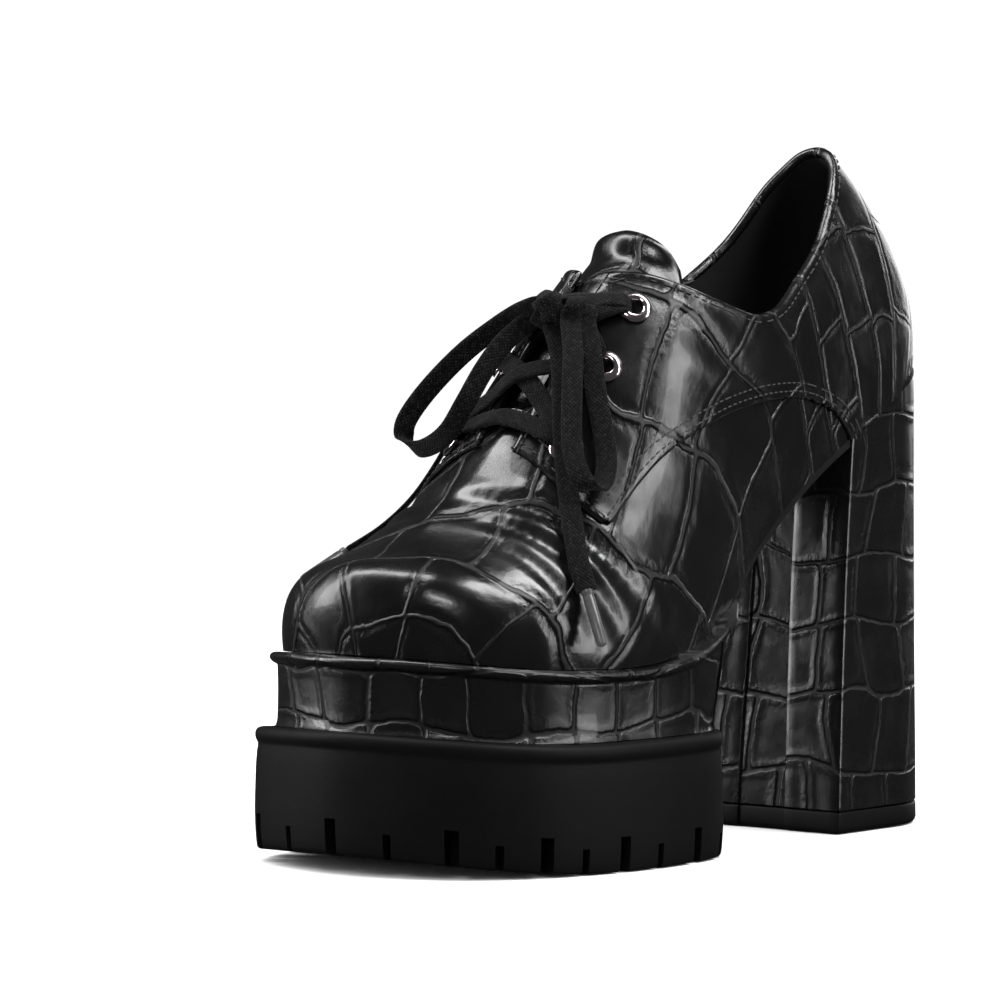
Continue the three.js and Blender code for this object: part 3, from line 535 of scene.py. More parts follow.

# %% [markdown]
# The lace is a flat woven tape, 6 mm wide. Its ends and loops hang free from the knot, and they
# are made first. Outside the knot their routes are those of the CAD model.

# %% Lace tape
def tape(name, route, facing=None, across=None, per_span=5, width=LACE_WIDTH, narrow=None,
         thickness=LACE_THICKNESS, closed=False):
    path = smooth_line(route, per_span, closed)
    if closed:
        path = path[:-1]
    step = np.roll(path, -1, 0) - np.roll(path, 1, 0) if closed else np.gradient(path, axis=0)
    way = unit(step)
    if across is not None:
        side = np.broadcast_to(across, path.shape)
        side = unit(side - way * (side * way).sum(1)[:, None])
        out = unit(np.cross(side, way))
    else:
        face = np.broadcast_to(facing, path.shape)
        side = unit(np.cross(way, face))
        out = unit(np.cross(side, way))
    half = np.full(len(path), width / 2) if narrow is None else width / 2 * narrow
    thick = thickness / 2
    profile = [(-1, 0.0), (-0.93, 0.75), (-0.5, 1.0), (0.0, 0.92), (0.5, 1.0), (0.93, 0.75),
               (1, 0.0), (0.93, -0.75), (0.5, -1.0), (0.0, -0.92), (-0.5, -1.0), (-0.93, -0.75)]
    length = np.concatenate([[0], np.cumsum(np.linalg.norm(np.diff(path, axis=0), axis=1))])
    n, k = len(path), len(profile)
    points = np.stack([path + side * (half * a)[:, None] + out * thick * b for a, b in profile], 1)
    faces, uv_faces = [], []
    for i in range(n if closed else n - 1):
        j = (i + 1) % n
        for c in range(k):
            d = (c + 1) % k
            faces.append([i * k + c, i * k + d, j * k + d, j * k + c])
            edge = lambda q: profile[q][0] * width / 2 + (0.02 if profile[q][1] < 0 else 0)
            u0, u1 = edge(c), profile[d][0] * width / 2 + (0.02 if profile[c][1] < 0 or profile[d][1] < 0 else 0)
            l0, l1 = length[i], length[j] if j else length[i] + length[1]
            uv_faces += [(u0, l0), (u1, l0), (u1, l1), (u0, l1)]
    if not closed:
        faces += [list(range(k - 1, -1, -1)), list(range((n - 1) * k, n * k))]
        uv_faces += [(profile[c][0] * width / 2, 0) for c in range(k - 1, -1, -1)]
        uv_faces += [(profile[c][0] * width / 2, length[-1]) for c in range(k)]
    piece = new_object(name, points.reshape(-1, 3), faces)
    layer = piece.data.uv_layers.new(name="skin")
    layer.data.foreach_set("uv", np.array(uv_faces, np.float32).ravel())
    work = bmesh.new()
    work.from_mesh(piece.data)
    bmesh.ops.recalc_face_normals(work, faces=work.faces)
    work.to_mesh(piece.data)
    work.free()
    piece.data.polygons.foreach_set("use_smooth", [True] * len(piece.data.polygons))
    piece.data.set_sharp_from_angle(angle=math.radians(60))
    return piece, path, float(length[-1])


print("tape helper ready, lace", LACE_WIDTH, "wide")

# %% Routes of the bow
BOW_ORIGIN = np.array([AXIS_X, HEEL_BACK, PLATFORM_TOP])
KNOT_PLACE = BOW_ORIGIN + np.array([2.3, -153.2, 99.3]) * MM
BOW = {
    "lace_loop_lateral": {
        "across": [0.749, 0.663, 0],
        "route": [
            [9.8, -153.2, 96.6], [15.2, -158.3, 88.1], [20.9, -165.3, 75.7], [25.8, -171, 63.3],
            [30, -173.7, 55.7], [33.1, -172.9, 50.9], [33.8, -168.3, 50.2], [32.2, -163.7, 54.2],
            [29.7, -160.7, 60.2], [25.8, -158.3, 68.5], [21.9, -156.2, 77], [17.2, -152.9, 88.4],
            [12.8, -150, 95.9],
        ],
    },
    "lace_loop_medial": {
        "across": [-0.524, -0.464, 0.7],
        "route": [
            [-4.6, -155, 99.4], [-9.5, -155.2, 97.4], [-15.5, -157.5, 93.3], [-22.5, -160.9, 87.5],
            [-29.5, -164.3, 80.2], [-35.5, -167.5, 72.4], [-38.7, -169.8, 66], [-38.6, -170, 61.6],
            [-34, -170.8, 58.8], [-27, -171.9, 60], [-18.2, -174.2, 64.4], [-12.2, -173.9, 72.4],
            [-9.6, -169, 81.6], [-8.2, -163, 88.6], [-7, -158, 92.6],
        ],
    },
    "lace_end_lateral": {
        "facing": [0.55, -0.62, 0.56],
        "route": [
            [5.8, -155, 91.8], [8.4, -156.4, 88], [11.4, -159, 83.2], [14.9, -162.6, 76.5],
            [18.4, -166.4, 68.6], [21.8, -169.6, 60.2], [26.2, -173.4, 51], [31.8, -177.7, 40.4],
            [37.5, -181.5, 29.9], [41.7, -182.8, 21.9],
        ],
    },
    "lace_end_medial": {
        "facing": [-0.7, -0.45, 0.52],
        "route": [
            [-8.5, -149.8, 95.9], [-16.9, -149.9, 92.2], [-24, -149.8, 85.2], [-28.2, -152.2, 74.4],
            [-31.8, -156.4, 63.5], [-35.6, -161, 53], [-39.7, -167.1, 43.2], [-43.9, -176.1, 34.8],
            [-46.3, -187, 29.2],
        ],
    },
}
AGLET_RADIUS = 1.75 * MM
AGLET_LENGTH = 17 * MM
# Near the knot each strand goes on into it, where the plain solids stop a little short
INTO_KNOT = {
    "lace_loop_lateral": ([[4.5, -149.6, 99.5], [7.6, -149.2, 101.6], [10.4, -150.6, 102.4], [11.4, -152.8, 100.2]],
                          [[12.4, -148.9, 98.6], [9.6, -148.4, 99.9], [5, -149.4, 99.4]]),
    "lace_loop_medial": ([[3, -152.2, 99.2], [-0.8, -154.2, 100.3]],
                         [[-5.4, -154, 95.6], [-1.5, -152.4, 97.6], [2.6, -151.6, 98.6]]),
    "lace_end_lateral": ([[2.6, -152.6, 97.2], [3.9, -154, 94.8]], []),
    "lace_end_medial": ([[2.4, -151.4, 98.6], [-2.8, -150.6, 97.8]], []),
}
bow_parts = {}
for name, shape in BOW.items():
    start, end = INTO_KNOT[name]
    route = BOW_ORIGIN + np.array(start + shape["route"] + end) * MM
    facing = shape.get("facing")
    across = shape.get("across")
    piece, path, length = tape(name + "_tape", route,
                               None if facing is None else unit(np.array(facing)),
                               None if across is None else unit(np.array(across)))
    bow_parts[name] = (piece, path, length)
    print(name, "length mm", round(length / MM, 1))

# %% [markdown]
# A lace tip, or aglet, is a short crimped tube. It tapers a little at its free end and has a
# shallow collar where it grips the tape.

# %% Turned shapes
def turned(name, profile, base, axis, steps=24, cap=True):
    # Solid of turning: profile rows are distance along the axis and radius
    axis = unit(np.asarray(axis, float))
    side = unit(np.cross(axis, [0.3, 0.2, 1.0] if abs(axis[2]) < 0.9 else [1.0, 0, 0]))
    other = np.cross(axis, side)
    turn = np.linspace(0, 2 * math.pi, steps, endpoint=False)
    ring = np.cos(turn)[:, None] * side + np.sin(turn)[:, None] * other
    points = np.concatenate([base + axis * a + ring * r for a, r in profile])
    rows = len(profile)
    faces = []
    for j in range(rows - 1 if cap else rows):
        k = (j + 1) % rows
        for i in range(steps):
            m = (i + 1) % steps
            faces.append([j * steps + i, j * steps + m, k * steps + m, k * steps + i])
    if cap:
        faces += [list(range(steps - 1, -1, -1)), list(range((rows - 1) * steps, rows * steps))]
    piece = new_object(name, points, faces)
    return finish_mesh(piece, angle=40, recalc=True)


aglets = {}
for side in ("lateral", "medial"):
    route = BOW_ORIGIN + np.array(BOW["lace_end_" + side]["route"]) * MM
    way = unit(route[-1] - route[-2])
    r, l = AGLET_RADIUS, AGLET_LENGTH
    profile = [(0, r * 0.8), (0.2 * MM, r), (1.2 * MM, r), (1.5 * MM, r * 0.9), (2.1 * MM, r * 0.9),
               (2.4 * MM, r * 0.98), (l * 0.9, r * 0.9), (l * 0.98, r * 0.8), (l, r * 0.55)]
    aglets[side] = turned("aglet_tip_" + side, profile, route[-1] - way * 0.2 * MM, way)
print("aglets", list(aglets))

# %% [markdown]
# The lacing is one straight bar low on the instep, then two crossings, then the short tops that
# go to the knot. Each strand dives through its eyelet, where the tape bunches up narrower.

# %% Laced strands
def strand(name, start, end, first=0.0, last=1.0, rise=0.0, over=0.0):
    (u0, v0), (u1, v1) = start, end
    low = LAP + CLEAR + LACE_THICKNESS / 2 + 0.5 * MM
    high = LAP + 1.9 * MM + LACE_THICKNESS / 2
    bends = [0, 0.012, 0.03, 0.055, 0.09, 0.14, 0.2, 0.28, 0.36, 0.43, 0.5]
    shares = np.array(bends + [1 - b for b in bends[-2::-1]])
    shares = shares[(shares >= first - 1e-9) & (shares <= last + 1e-9)]
    if first > 0:
        shares = np.concatenate([[first], shares[shares > first + 0.02]])
    if last < 1:
        shares = np.concatenate([shares[shares < last - 0.02], [last]])
    reach = 2 * shares - 1
    u = u0 + (u1 - u0) * shares
    v = 1 - np.abs(reach) * (1 - (v0 + (v1 - v0) * shares))
    place = np.where(reach <= 0, u, TURN - u)
    lift = low + (high - low) * smooth(np.abs(reach), 0.45, 0.72)
    lift = lift + over * (1 - smooth(np.abs(reach), 0.08, 0.42)) + rise
    dive = smooth(np.abs(reach), 0.985, 0.86)
    lift = lift * dive - 2.6 * MM * (1 - dive)
    path = off_last(place, v, lift)
    normal = last_normals(place, v)
    way = np.gradient(path, axis=0)
    side = unit(np.cross(way, normal)).mean(0)
    narrow = 0.62 + 0.38 * smooth(np.abs(reach), 0.97, 0.7)
    if first > 0 or last < 1:
        narrow = np.maximum(narrow, 0.62)
    return tape(name, path, across=unit(side), per_span=3,
                narrow=np.interp(np.linspace(0, 1, 3 * (len(path) - 1) + 1), np.linspace(0, 1, len(path)), narrow))[0]


def join(name, pieces):
    work = bmesh.new()
    for piece in pieces:
        work.from_mesh(piece.data)
        bpy.data.objects.remove(piece)
    mesh = bpy.data.meshes.new(name)
    work.to_mesh(mesh)
    work.free()
    joined = bpy.data.objects.new(name, mesh)
    bpy.context.collection.objects.link(joined)
    return joined


low_hole, mid_hole, top_hole = EYELET_PLACES[2], EYELET_PLACES[1], EYELET_PLACES[0]
beyond = (8.5, 0.8)
strands = [
    strand("bar", low_hole, low_hole, over=-0.2 * MM),
    strand("cross_a", low_hole, mid_hole),
    strand("cross_b", mid_hole, low_hole, over=1.25 * MM),
    strand("cross_c", mid_hole, top_hole),
    strand("cross_d", top_hole, mid_hole, over=1.25 * MM),
    strand("top_lateral", top_hole, beyond, last=0.4, over=1.2 * MM),
    strand("top_medial", beyond, top_hole, first=0.6, over=1.2 * MM),
]
laced = join("laced_tape", strands)
print("laced strands", len(strands), "faces", len(laced.data.polygons))

# %% Knot
def band(name, centre, sizes, tilt, facing_turn, width):
    # A ring of tape round the knot, tilted about the line of sight
    turn = np.linspace(0, 2 * math.pi, 16, endpoint=False)
    flat = np.array(rightward) * math.cos(tilt) + np.array(upward) * math.sin(tilt)
    deep = np.array(backward)
    rise = np.cos(turn)[:, None] * flat * sizes[0] + np.sin(turn)[:, None] * deep * sizes[1]
    side = -np.array(rightward) * math.sin(tilt) + np.array(upward) * math.cos(tilt)
    return tape(name, centre + rise + side * facing_turn, across=side, per_span=3, width=width, closed=True)[0]


knot_bands = [
    band("wrap", KNOT_PLACE + np.array([-0.2, 0, 0.2]) * MM, (3.1 * MM, 4.0 * MM), 0.12, 0.0, 7.4 * MM),
    band("wrap_over", KNOT_PLACE + np.array([-0.9, 0, 0.9]) * MM, (3.5 * MM, 4.4 * MM), 0.5, 0.3 * MM, 5.6 * MM),
    band("turn_left", KNOT_PLACE - np.array([1.6, 0, 0.6]) * MM, (4.6 * MM, 3.2 * MM), 1.05, 0.4 * MM, 5.0 * MM),
    band("turn_right", KNOT_PLACE + np.array([1.4, 0, 0.2]) * MM, (4.3 * MM, 3.1 * MM), -0.85, -0.3 * MM, 5.0 * MM),
]
knot = join("bow_knot", knot_bands)
print("knot bands", len(knot_bands))

# %% [markdown]
# Eyelets are pressed metal rings: a rounded flange on the leather and a barrel through it.

# %% Eyelets
def eyelet(name, u, v):
    normal = last_normals(np.array([u]), np.array([v]))[0]
    base = off_last(np.array([u]), np.array([v]), LAP + CLEAR)[0]
    bore, edge = 2.3 * MM, 5 * MM
    barrel = bore + 0.55 * MM
    profile = [(-3 * MM, bore), (0.5 * MM, bore), (0.95 * MM, bore + 0.18 * MM), (1.2 * MM, bore + 0.6 * MM),
               (1.3 * MM, bore + 1.1 * MM), (1.2 * MM, bore + 1.6 * MM), (0.9 * MM, edge - 0.45 * MM),
               (0.5 * MM, edge - 0.1 * MM), (0.2 * MM, edge), (0, edge - 0.1 * MM), (0, barrel), (-3 * MM, barrel)]
    return turned(name, profile, base, normal, steps=40, cap=False)


eyelets = {}
for i, (u, v) in enumerate(EYELET_PLACES, 1):
    eyelets[f"eyelet_lateral_{i}"] = eyelet(f"ring_lateral_{i}", u, v)
    eyelets[f"eyelet_medial_{i}"] = eyelet(f"ring_medial_{i}", TURN - u, v)
print("eyelets", len(eyelets))

# %% [markdown]
# Leather that has been worn, or only lasted and laced, has soft folds where the foot bends.
# Each is given as a line on the last, with its width and depth, and pressed into the
# panel as a trough with a low ridge on each side. The line is in sections and up the section.

# %% Folds in the leather
FOLDS = [
    # line of (u, v), width mm, depth mm
    ([(8.9, 0.18), (9.3, 0.45), (9.7, 0.75), (10.1, 0.98)], 3.2, 0.9),
    ([(9.5, 0.12), (9.8, 0.40), (10.1, 0.70), (10.4, 0.95)], 2.6, 0.7),
    ([(10.2, 0.15), (10.4, 0.42), (10.6, 0.66)], 2.4, 0.5),
    ([(17.1, 0.18), (16.7, 0.45), (16.3, 0.75), (15.9, 0.98)], 3.2, 0.9),
    ([(16.5, 0.12), (16.2, 0.40), (15.9, 0.70), (15.6, 0.95)], 2.6, 0.7),
    ([(5.2, 0.20), (5.9, 0.42), (6.5, 0.62)], 3.6, 0.5),
    ([(20.8, 0.20), (20.1, 0.42), (19.5, 0.62)], 3.6, 0.5),
]
fold_lines = []
for line, width, deep in FOLDS:
    uvs = smooth_line(np.array(line), 6)
    fold_lines.append((last_points(uvs[:, 0], uvs[:, 1]), width * MM, deep * MM))


def fold_relief(points, uv):
    total = np.zeros(len(points))
    for line, width, deep in fold_lines:
        low = line.min(0) - 4 * width
        high = line.max(0) + 4 * width
        near = ((points > low) & (points < high)).all(1)
        if not near.any():
            continue
        away = np.linalg.norm(points[near][:, None] - line[None], axis=2)
        nearest = away.argmin(1)
        d = away.min(1) / width
        fade = np.sin(np.clip((nearest + 1) / (len(line) + 1), 0, 1) * math.pi) ** 0.6
        total[near] += deep * fade * (-np.exp(-d * d) + 0.45 * np.exp(-(d - 1.9) ** 2 * 1.6))
    return total


print("folds", len(fold_lines))

# %% [markdown]
# The quarters wrap the back of the foot and carry the eyelets. Their lower edge is a plain cut
# edge that lies on the vamp; the collar and the eyestays are turned over and rounded.

# %% Quarters
SKIN_STEPS_U = 16
upper_v = np.concatenate([[-0.004, -0.0015], np.linspace(0, 1, 71)])
start_grid = grid_panel(TURN * SKIN_STEPS_U, upper_v)
fold_radius = (LAP + WALL) / 2
fold_middle = LAP - fold_radius


def edge_field(uv):
    a, b = collar_field(uv), throat_field(uv)
    return np.minimum(a, b)


quarter = cut(start_grid, seam_field, [0.0])
quarter = cut(quarter, collar_field, [0.0])
quarter = cut(quarter, throat_field, [0.0])
quarter = cut(quarter, seam_field, [0.12 * MM, 0.4 * MM], keep=False)
quarter = cut(quarter, edge_field, [0.1 * MM, 0.4 * MM, 0.9 * MM, 1.5 * MM, 3.0 * MM], keep=False)
centres = [last_points(np.array([w]), np.array([v]))[0] for u, v in EYELET_PLACES for w in (u, TURN - u)]


def eyelet_field(uv):
    points = surface_of(uv)
    return np.min([np.linalg.norm(points - c, axis=1) for c in centres], 0)


quarter = cut(quarter, eyelet_field, [2.9 * MM])


def quarter_outer(uv):
    rounded = np.sqrt(np.maximum(1 - np.clip(1 - edge_field(uv) / fold_radius, 0, 1) ** 2, 0))
    base = fold_middle + fold_radius * rounded
    cut_edge = np.sqrt(np.maximum(1 - np.clip(1 - seam_field(uv) / (0.4 * MM), 0, 1) ** 2, 0))
    rim = smooth(edge_field(uv), 3.2 * MM, 1.2 * MM) * 0.25 * MM
    return base - (1 - cut_edge) * 0.45 * MM + rim


def quarter_inner(uv):
    edge = edge_field(uv)
    rounded = np.sqrt(np.maximum(1 - np.clip(1 - edge / fold_radius, 0, 1) ** 2, 0))
    turned_over = fold_middle - fold_radius * rounded
    flat = 0.08 * MM
    eased = flat + (turned_over - flat) * smooth(edge, 4.5 * MM, 2.2 * MM)
    return np.where(edge < 2.2 * MM, turned_over, eased)


quarters = panel_shell("quarters", quarter, quarter_outer, quarter_inner, fold_relief)
print("quarters faces", len(quarters.data.polygons))

# %% [markdown]
# The vamp is one piece from the toe to under the quarters. It is lasted tight over the toe,
# so it is smooth there, and it breaks into folds only behind the ball.

# %% Vamp
def vamp_reach(uv):
    return 9 * MM - seam_field(uv)


def vamp_throat(uv):
    return throat_field(uv, VAMP_END)


vamp_panel = cut(start_grid, vamp_reach, [0.0])
vamp_panel = cut(vamp_panel, vamp_throat, [0.0])
vamp_panel = cut(vamp_panel, collar_field, [0.0])


def vamp_relief(points, uv):
    under = smooth(seam_field(uv), 0.5 * MM, -1.5 * MM)
    return fold_relief(points, uv) * under


vamp = panel_shell("vamp", vamp_panel, lambda uv: np.zeros(len(uv)),
                   lambda uv: np.full(len(uv), -1.0 * MM), vamp_relief)
print("vamp faces", len(vamp.data.polygons))

# %% Lining
lining_grid = grid_panel(TURN * 8, np.linspace(0, 1, 36))
lining_panel = cut(lining_grid, collar_field, [1.9 * MM])
lining_panel = cut(lining_panel, vamp_throat, [2.0 * MM])
lining = panel_shell("lining", lining_panel, lambda uv: np.full(len(uv), -1.25 * MM),
                     lambda uv: np.full(len(uv), -WALL))
print("lining faces", len(lining.data.polygons))

# %% [markdown]
# The tongue is a soft sheet under the eyestays. Its free top leans out a little.

# %% Tongue
def collar_height(y):
    line = side_view(TOP_LINE)
    height = np.interp(-y, -line[:, 0], line[:, 1])
    return np.where(y < line[-1, 0], PLATFORM_TOP + LAST_HEIGHT * 1.4, height)


def tongue_points(u, side, reach, distance):
    place = np.where(side < 0, TURN - u, u)
    ridge_x = section(u)[1][..., 0]
    low, high = np.full(u.shape, 0.3), np.ones(u.shape)
    for _ in range(18):
        middle = (low + high) / 2
        far = np.abs(last_points(place, middle)[..., 0] - ridge_x) > reach
        low, high = np.where(far, middle, low), np.where(far, high, middle)
    v = np.where(reach < 1e-6, 1.0, low)
    return off_last(place, v, distance)


def tongue_sheet(rows, columns, distance, rim=0.0):
    t = np.linspace(0, 1, rows)[:, None]
    across = np.linspace(-1, 1, columns)[None, :]
    u = 9.35 + (5.96 - 9.35) * t
    corner = np.maximum(0, (t - 0.86) / 0.14)
    half = TONGUE_WIDTH / 2 * (0.58 + 0.42 * np.minimum(t * 1.4, 1)) * (1 - 0.22 * corner**2.5)
    u, side = np.broadcast_arrays(u, np.sign(across))
    reach = np.abs(across) * half
    under = tongue_points(u, side, reach, np.full(u.shape, -(WALL + TONGUE_CLEAR)))
    free = smooth(under[..., 2] - collar_height(under[..., 1]), 5 * MM, 12 * MM)
    edge = np.minimum(1 - np.abs(across), (1 - t) * 2.2 + 0 * across)
    thin = distance * np.sqrt(np.clip(edge / 0.06, 0, 1))
    return tongue_points(u, side, reach, TONGUE_FLARE * free - (WALL + TONGUE_CLEAR + TONGUE_THICKNESS / 2) + thin)


def slab(name, front, back):
    rows, columns = front.shape[:2]
    at = lambda s, r, c: (s * rows + r) * columns + c
    faces = []
    for r in range(rows - 1):
        for c in range(columns - 1):
            faces.append([at(0, r, c), at(0, r, c + 1), at(0, r + 1, c + 1), at(0, r + 1, c)])
            faces.append([at(1, r, c), at(1, r + 1, c), at(1, r + 1, c + 1), at(1, r, c + 1)])
        faces.append([at(0, r, 0), at(0, r + 1, 0), at(1, r + 1, 0), at(1, r, 0)])
        e = columns - 1
        faces.append([at(0, r, e), at(1, r, e), at(1, r + 1, e), at(0, r + 1, e)])
    for c in range(columns - 1):
        faces.append([at(0, 0, c), at(1, 0, c), at(1, 0, c + 1), at(0, 0, c + 1)])
        e = rows - 1
        faces.append([at(0, e, c), at(0, e, c + 1), at(1, e, c + 1), at(1, e, c)])
    along_sheet = np.concatenate([[0], np.cumsum(np.linalg.norm(np.diff(front[:, columns // 2], axis=0), axis=1))])
    over = np.linalg.norm(np.diff(front, axis=1), axis=2)
    over = np.concatenate([np.zeros((rows, 1)), np.cumsum(over, 1)], 1)
    over = over - over[:, columns // 2][:, None]
    flat = np.stack([over, np.broadcast_to(along_sheet[:, None], over.shape)], -1).reshape(-1, 2)
    places = np.concatenate([front.reshape(-1, 3), back.reshape(-1, 3)])
    piece = new_object(name, places, faces, np.vstack([flat, flat]))
    return finish_mesh(piece, recalc=True)


tongue_half = TONGUE_THICKNESS / 2
tongue = slab("tongue_leather", tongue_sheet(70, 42, tongue_half), tongue_sheet(70, 42, -tongue_half))
print("tongue faces", len(tongue.data.polygons))

# %% [markdown]
# The soles are rings stacked one on another. A ring is the outline moved out or in, and a side
# profile says how far at each height. The rubber is moulded, so its lugs are cut with crisp
# walls: the ring gets extra places at each notch, and the profile extra rows at its top.

# %% Rings
OUTLINE_RING = closed_ring(PLATFORM_OUTLINE)
dense = along(OUTLINE_RING, np.linspace(0, len(OUTLINE_RING), 641)[:-1])
dense = np.column_stack([AXIS_X + dense[:, 0] * BALL_WIDTH, HEEL_BACK - dense[:, 1] * LAST_LENGTH])
dense = np.vstack([dense, dense[:1]])
arc = np.concatenate([[0], np.cumsum(np.linalg.norm(np.diff(dense, axis=0), axis=1))])


def ring_at(lengths):
    x = np.interp(lengths % arc[-1], arc, dense[:, 0])
    y = np.interp(lengths % arc[-1], arc, dense[:, 1])
    soft = 2.5 * MM
    ahead = np.column_stack([np.interp((lengths + soft) % arc[-1], arc, dense[:, k]) for k in (0, 1)])
    behind = np.column_stack([np.interp((lengths - soft) % arc[-1], arc, dense[:, k]) for k in (0, 1)])
    return np.column_stack([x, y]), outward(behind, ahead)


def toe_share(y):
    start = HEEL_BACK - 0.78 * LAST_LENGTH
    return np.maximum(0, (start - y) / (0.243 * LAST_LENGTH)) ** 2


def stack(name, rings, angle=35, shift=None):
    n = len(rings[0])
    faces = []
    for r in range(len(rings) - 1):
        for i in range(n):
            j = (i + 1) % n
            faces.append([r * n + i, r * n + j, (r + 1) * n + j, (r + 1) * n + i])
    faces += [list(range(n - 1, -1, -1)), list(range((len(rings) - 1) * n, len(rings) * n))]
    round_ring = rings[len(rings) // 2][:, :2]
    gone = np.concatenate([[0], np.cumsum(np.linalg.norm(np.diff(round_ring, axis=0), axis=1))])
    if shift is not None:
        gone = gone + shift
    flat = np.concatenate([np.column_stack([gone, ring[:, 2]]) for ring in rings])
    piece = new_object(name, np.concatenate(rings), faces, flat)
    # The faces that close the ring carry on past its length, so their pattern isn't squeezed
    skin = piece.data.uv_layers["skin"].data
    total = gone[-1] + np.linalg.norm(round_ring[0] - round_ring[-1])
    for polygon in piece.data.polygons:
        if len(polygon.loop_indices) == 4:
            values = [skin[i].uv[0] for i in polygon.loop_indices]
            if max(values) - min(values) > total / 2:
                for i in polygon.loop_indices:
                    if skin[i].uv[0] < total / 2:
                        skin[i].uv[0] += total
    work = bmesh.new()
    work.from_mesh(piece.data)
    bmesh.ops.remove_doubles(work, verts=work.verts, dist=2e-6)
    bmesh.ops.triangulate(work, faces=[f for f in work.faces if len(f.verts) > 6])
    bmesh.ops.recalc_face_normals(work, faces=work.faces)
    work.to_mesh(piece.data)
    work.free()
    return finish_mesh(piece, angle=angle)


print("outline length mm", round(arc[-1] / MM, 1))

# %% Rubber sole
NOTCH_PLACES = [0, 0.042, 0.083, 0.124, 0.165, 0.215, 0.255, 0.294, 0.328, 0.365, 0.399, 0.45, 0.5]
notch_places = [p * arc[-1] for p in NOTCH_PLACES + [1 - p for p in NOTCH_PLACES[-2:0:-1]]]
count = len(notch_places)
# width, height, depth of the broad and the narrow notch
NOTCHES = [(3.7 * MM, 10 * MM, 8 * MM), (2.3 * MM, 7 * MM, 6 * MM)]
lengths, cuts = [], []
for i, centre in enumerate(notch_places):
    width, height, deep = NOTCHES[i % 2]
    for side in (-1, 1):
        steps = [(0.9, False), (0.35, False), (0.0, False), (-0.01, True)]
        for away, inside in steps if side < 0 else steps[::-1]:
            lengths.append(centre + side * (width / 2 + away * MM))
            cuts.append(i % 2 if inside else None)
        if side < 0:
            lengths.append(centre)
            cuts.append(i % 2)
    after = notch_places[(i + 1) % count] + (arc[-1] if i == count - 1 else 0)
    start, end = centre + width / 2 + 0.9 * MM, after - NOTCHES[(i + 1) % 2][0] / 2 - 0.9 * MM
    lengths += list(np.linspace(start, end, 12)[1:-1])
    cuts += [None] * 10
lengths = np.array(lengths)
flat, normal = ring_at(lengths)
notch_height = np.array([0 if c is None else NOTCHES[c][1] for c in cuts])
notch_depth = np.array([0 if c is None else NOTCHES[c][2] for c in cuts])
# share of the height, millimetres above it, millimetres out
RUBBER_SIDE = [(0, 0, 2.2), (0, 0.15, 2.8), (0, 0.5, 3.2), (0, 1.2, 3.4), (0, 3, 3.6), (0, 5, 3.75), (0, 6.7, 3.85),
               (0, 6.99, 3.86), (0, 7.01, 3.86), (0, 7.4, 3.87), (0, 8.5, 3.9), (0, 9.7, 3.92), (0, 9.99, 3.93),
               (0, 10.01, 3.93), (0, 10.4, 3.94), (0, 12, 3.95), (0.45, 0, 3.9), (0.6, 0, 3.75), (0.72, 0, 3.55),
               (0.8, 0, 3.3), (0.845, 0, 3.05), (0.86, 0, 3.02), (0.875, 0, 3.25), (0.895, 0, 3.6), (0.92, 0, 3.82),
               (0.945, 0, 3.8), (0.965, 0, 3.6), (0.982, 0, 3.2), (0.994, 0, 2.5), (1, 0, 1.6)]
rings = []
for share, up, out in RUBBER_SIDE:
    low = BOTTOM_SPRING * toe_share(flat[:, 1])
    high = RUBBER_HEIGHT + RIM_SPRING * toe_share(flat[:, 1])
    level = share * (high - low) + up * MM
    into = np.where(level < notch_height, notch_depth, 0)
    spot = flat + normal * (out * MM - into)[:, None]
    low = BOTTOM_SPRING * toe_share(spot[:, 1])
    high = RUBBER_HEIGHT + RIM_SPRING * toe_share(spot[:, 1])
    rings.append(np.column_stack([spot, low + share * (high - low) + up * MM]))
rubber_sole = stack("rubber_sole", rings, angle=32)
print("notches", count, "sole faces", len(rubber_sole.data.polygons))

# %% [markdown]
# The platform is wrapped in the same embossed leather. Its top is rolled into a bead that
# stands under the upper. At the rear the whole wrap leans back as it climbs to the waist.

# %% Platform
lengths = np.linspace(0, arc[-1], 421)[:-1]
flat, normal = ring_at(lengths)
rear = smooth(flat[:, 1], HEEL_BACK - 0.69 * LAST_LENGTH, HEEL_BACK - 0.54 * LAST_LENGTH)
# Round the rear corners the wrap comes out almost flush with the rubber
flush = smooth(flat[:, 1], HEEL_BACK - 0.76 * LAST_LENGTH, HEEL_BACK - 0.6 * LAST_LENGTH) * 2.8 * MM
side_rows = [(0, 0, -1.8), (0, 0.5, -2.1), (0, 1.5, -2.4)]
side_rows += [(s, 0, -2.4 - 0.3 * math.sin(math.pi * s)) for s in np.linspace(0.12, 0.8, 22)]
side_rows += [(1, -3.9, -2.6), (1, -3.5, -2.4), (1, -3.2, -1.7), (1, -2.8, -1.0), (1, -2.2, -0.5), (1, -1.6, -0.35),
              (1, -1.0, -0.45), (1, -0.5, -0.85), (1, -0.15, -1.5), (1, 0, -2.4)]


rings = []
for share, up, out in side_rows:
    spot = flat + normal * (out * MM + flush)[:, None]
    low = RUBBER_HEIGHT + CLEAR + RIM_SPRING * toe_share(spot[:, 1])
    top = bottom_at(spot[:, 1] + REAR_LEAN * rear) - CLEAR
    z = low + share * (top - low) + up * MM
    lean = REAR_LEAN * rear * np.clip((z - low) / (top - low), 0, 1)
    rings.append(np.column_stack([spot[:, 0], spot[:, 1] + lean, z]))
platform = stack("platform_wrap", rings, angle=45)
print("platform faces", len(platform.data.polygons))

# %% [markdown]
# The heel is a tall block with a round back and a flat breast. Its leather is one wrap whose
# two ends fold a third of the way across the breast, so the breast shows a low step.

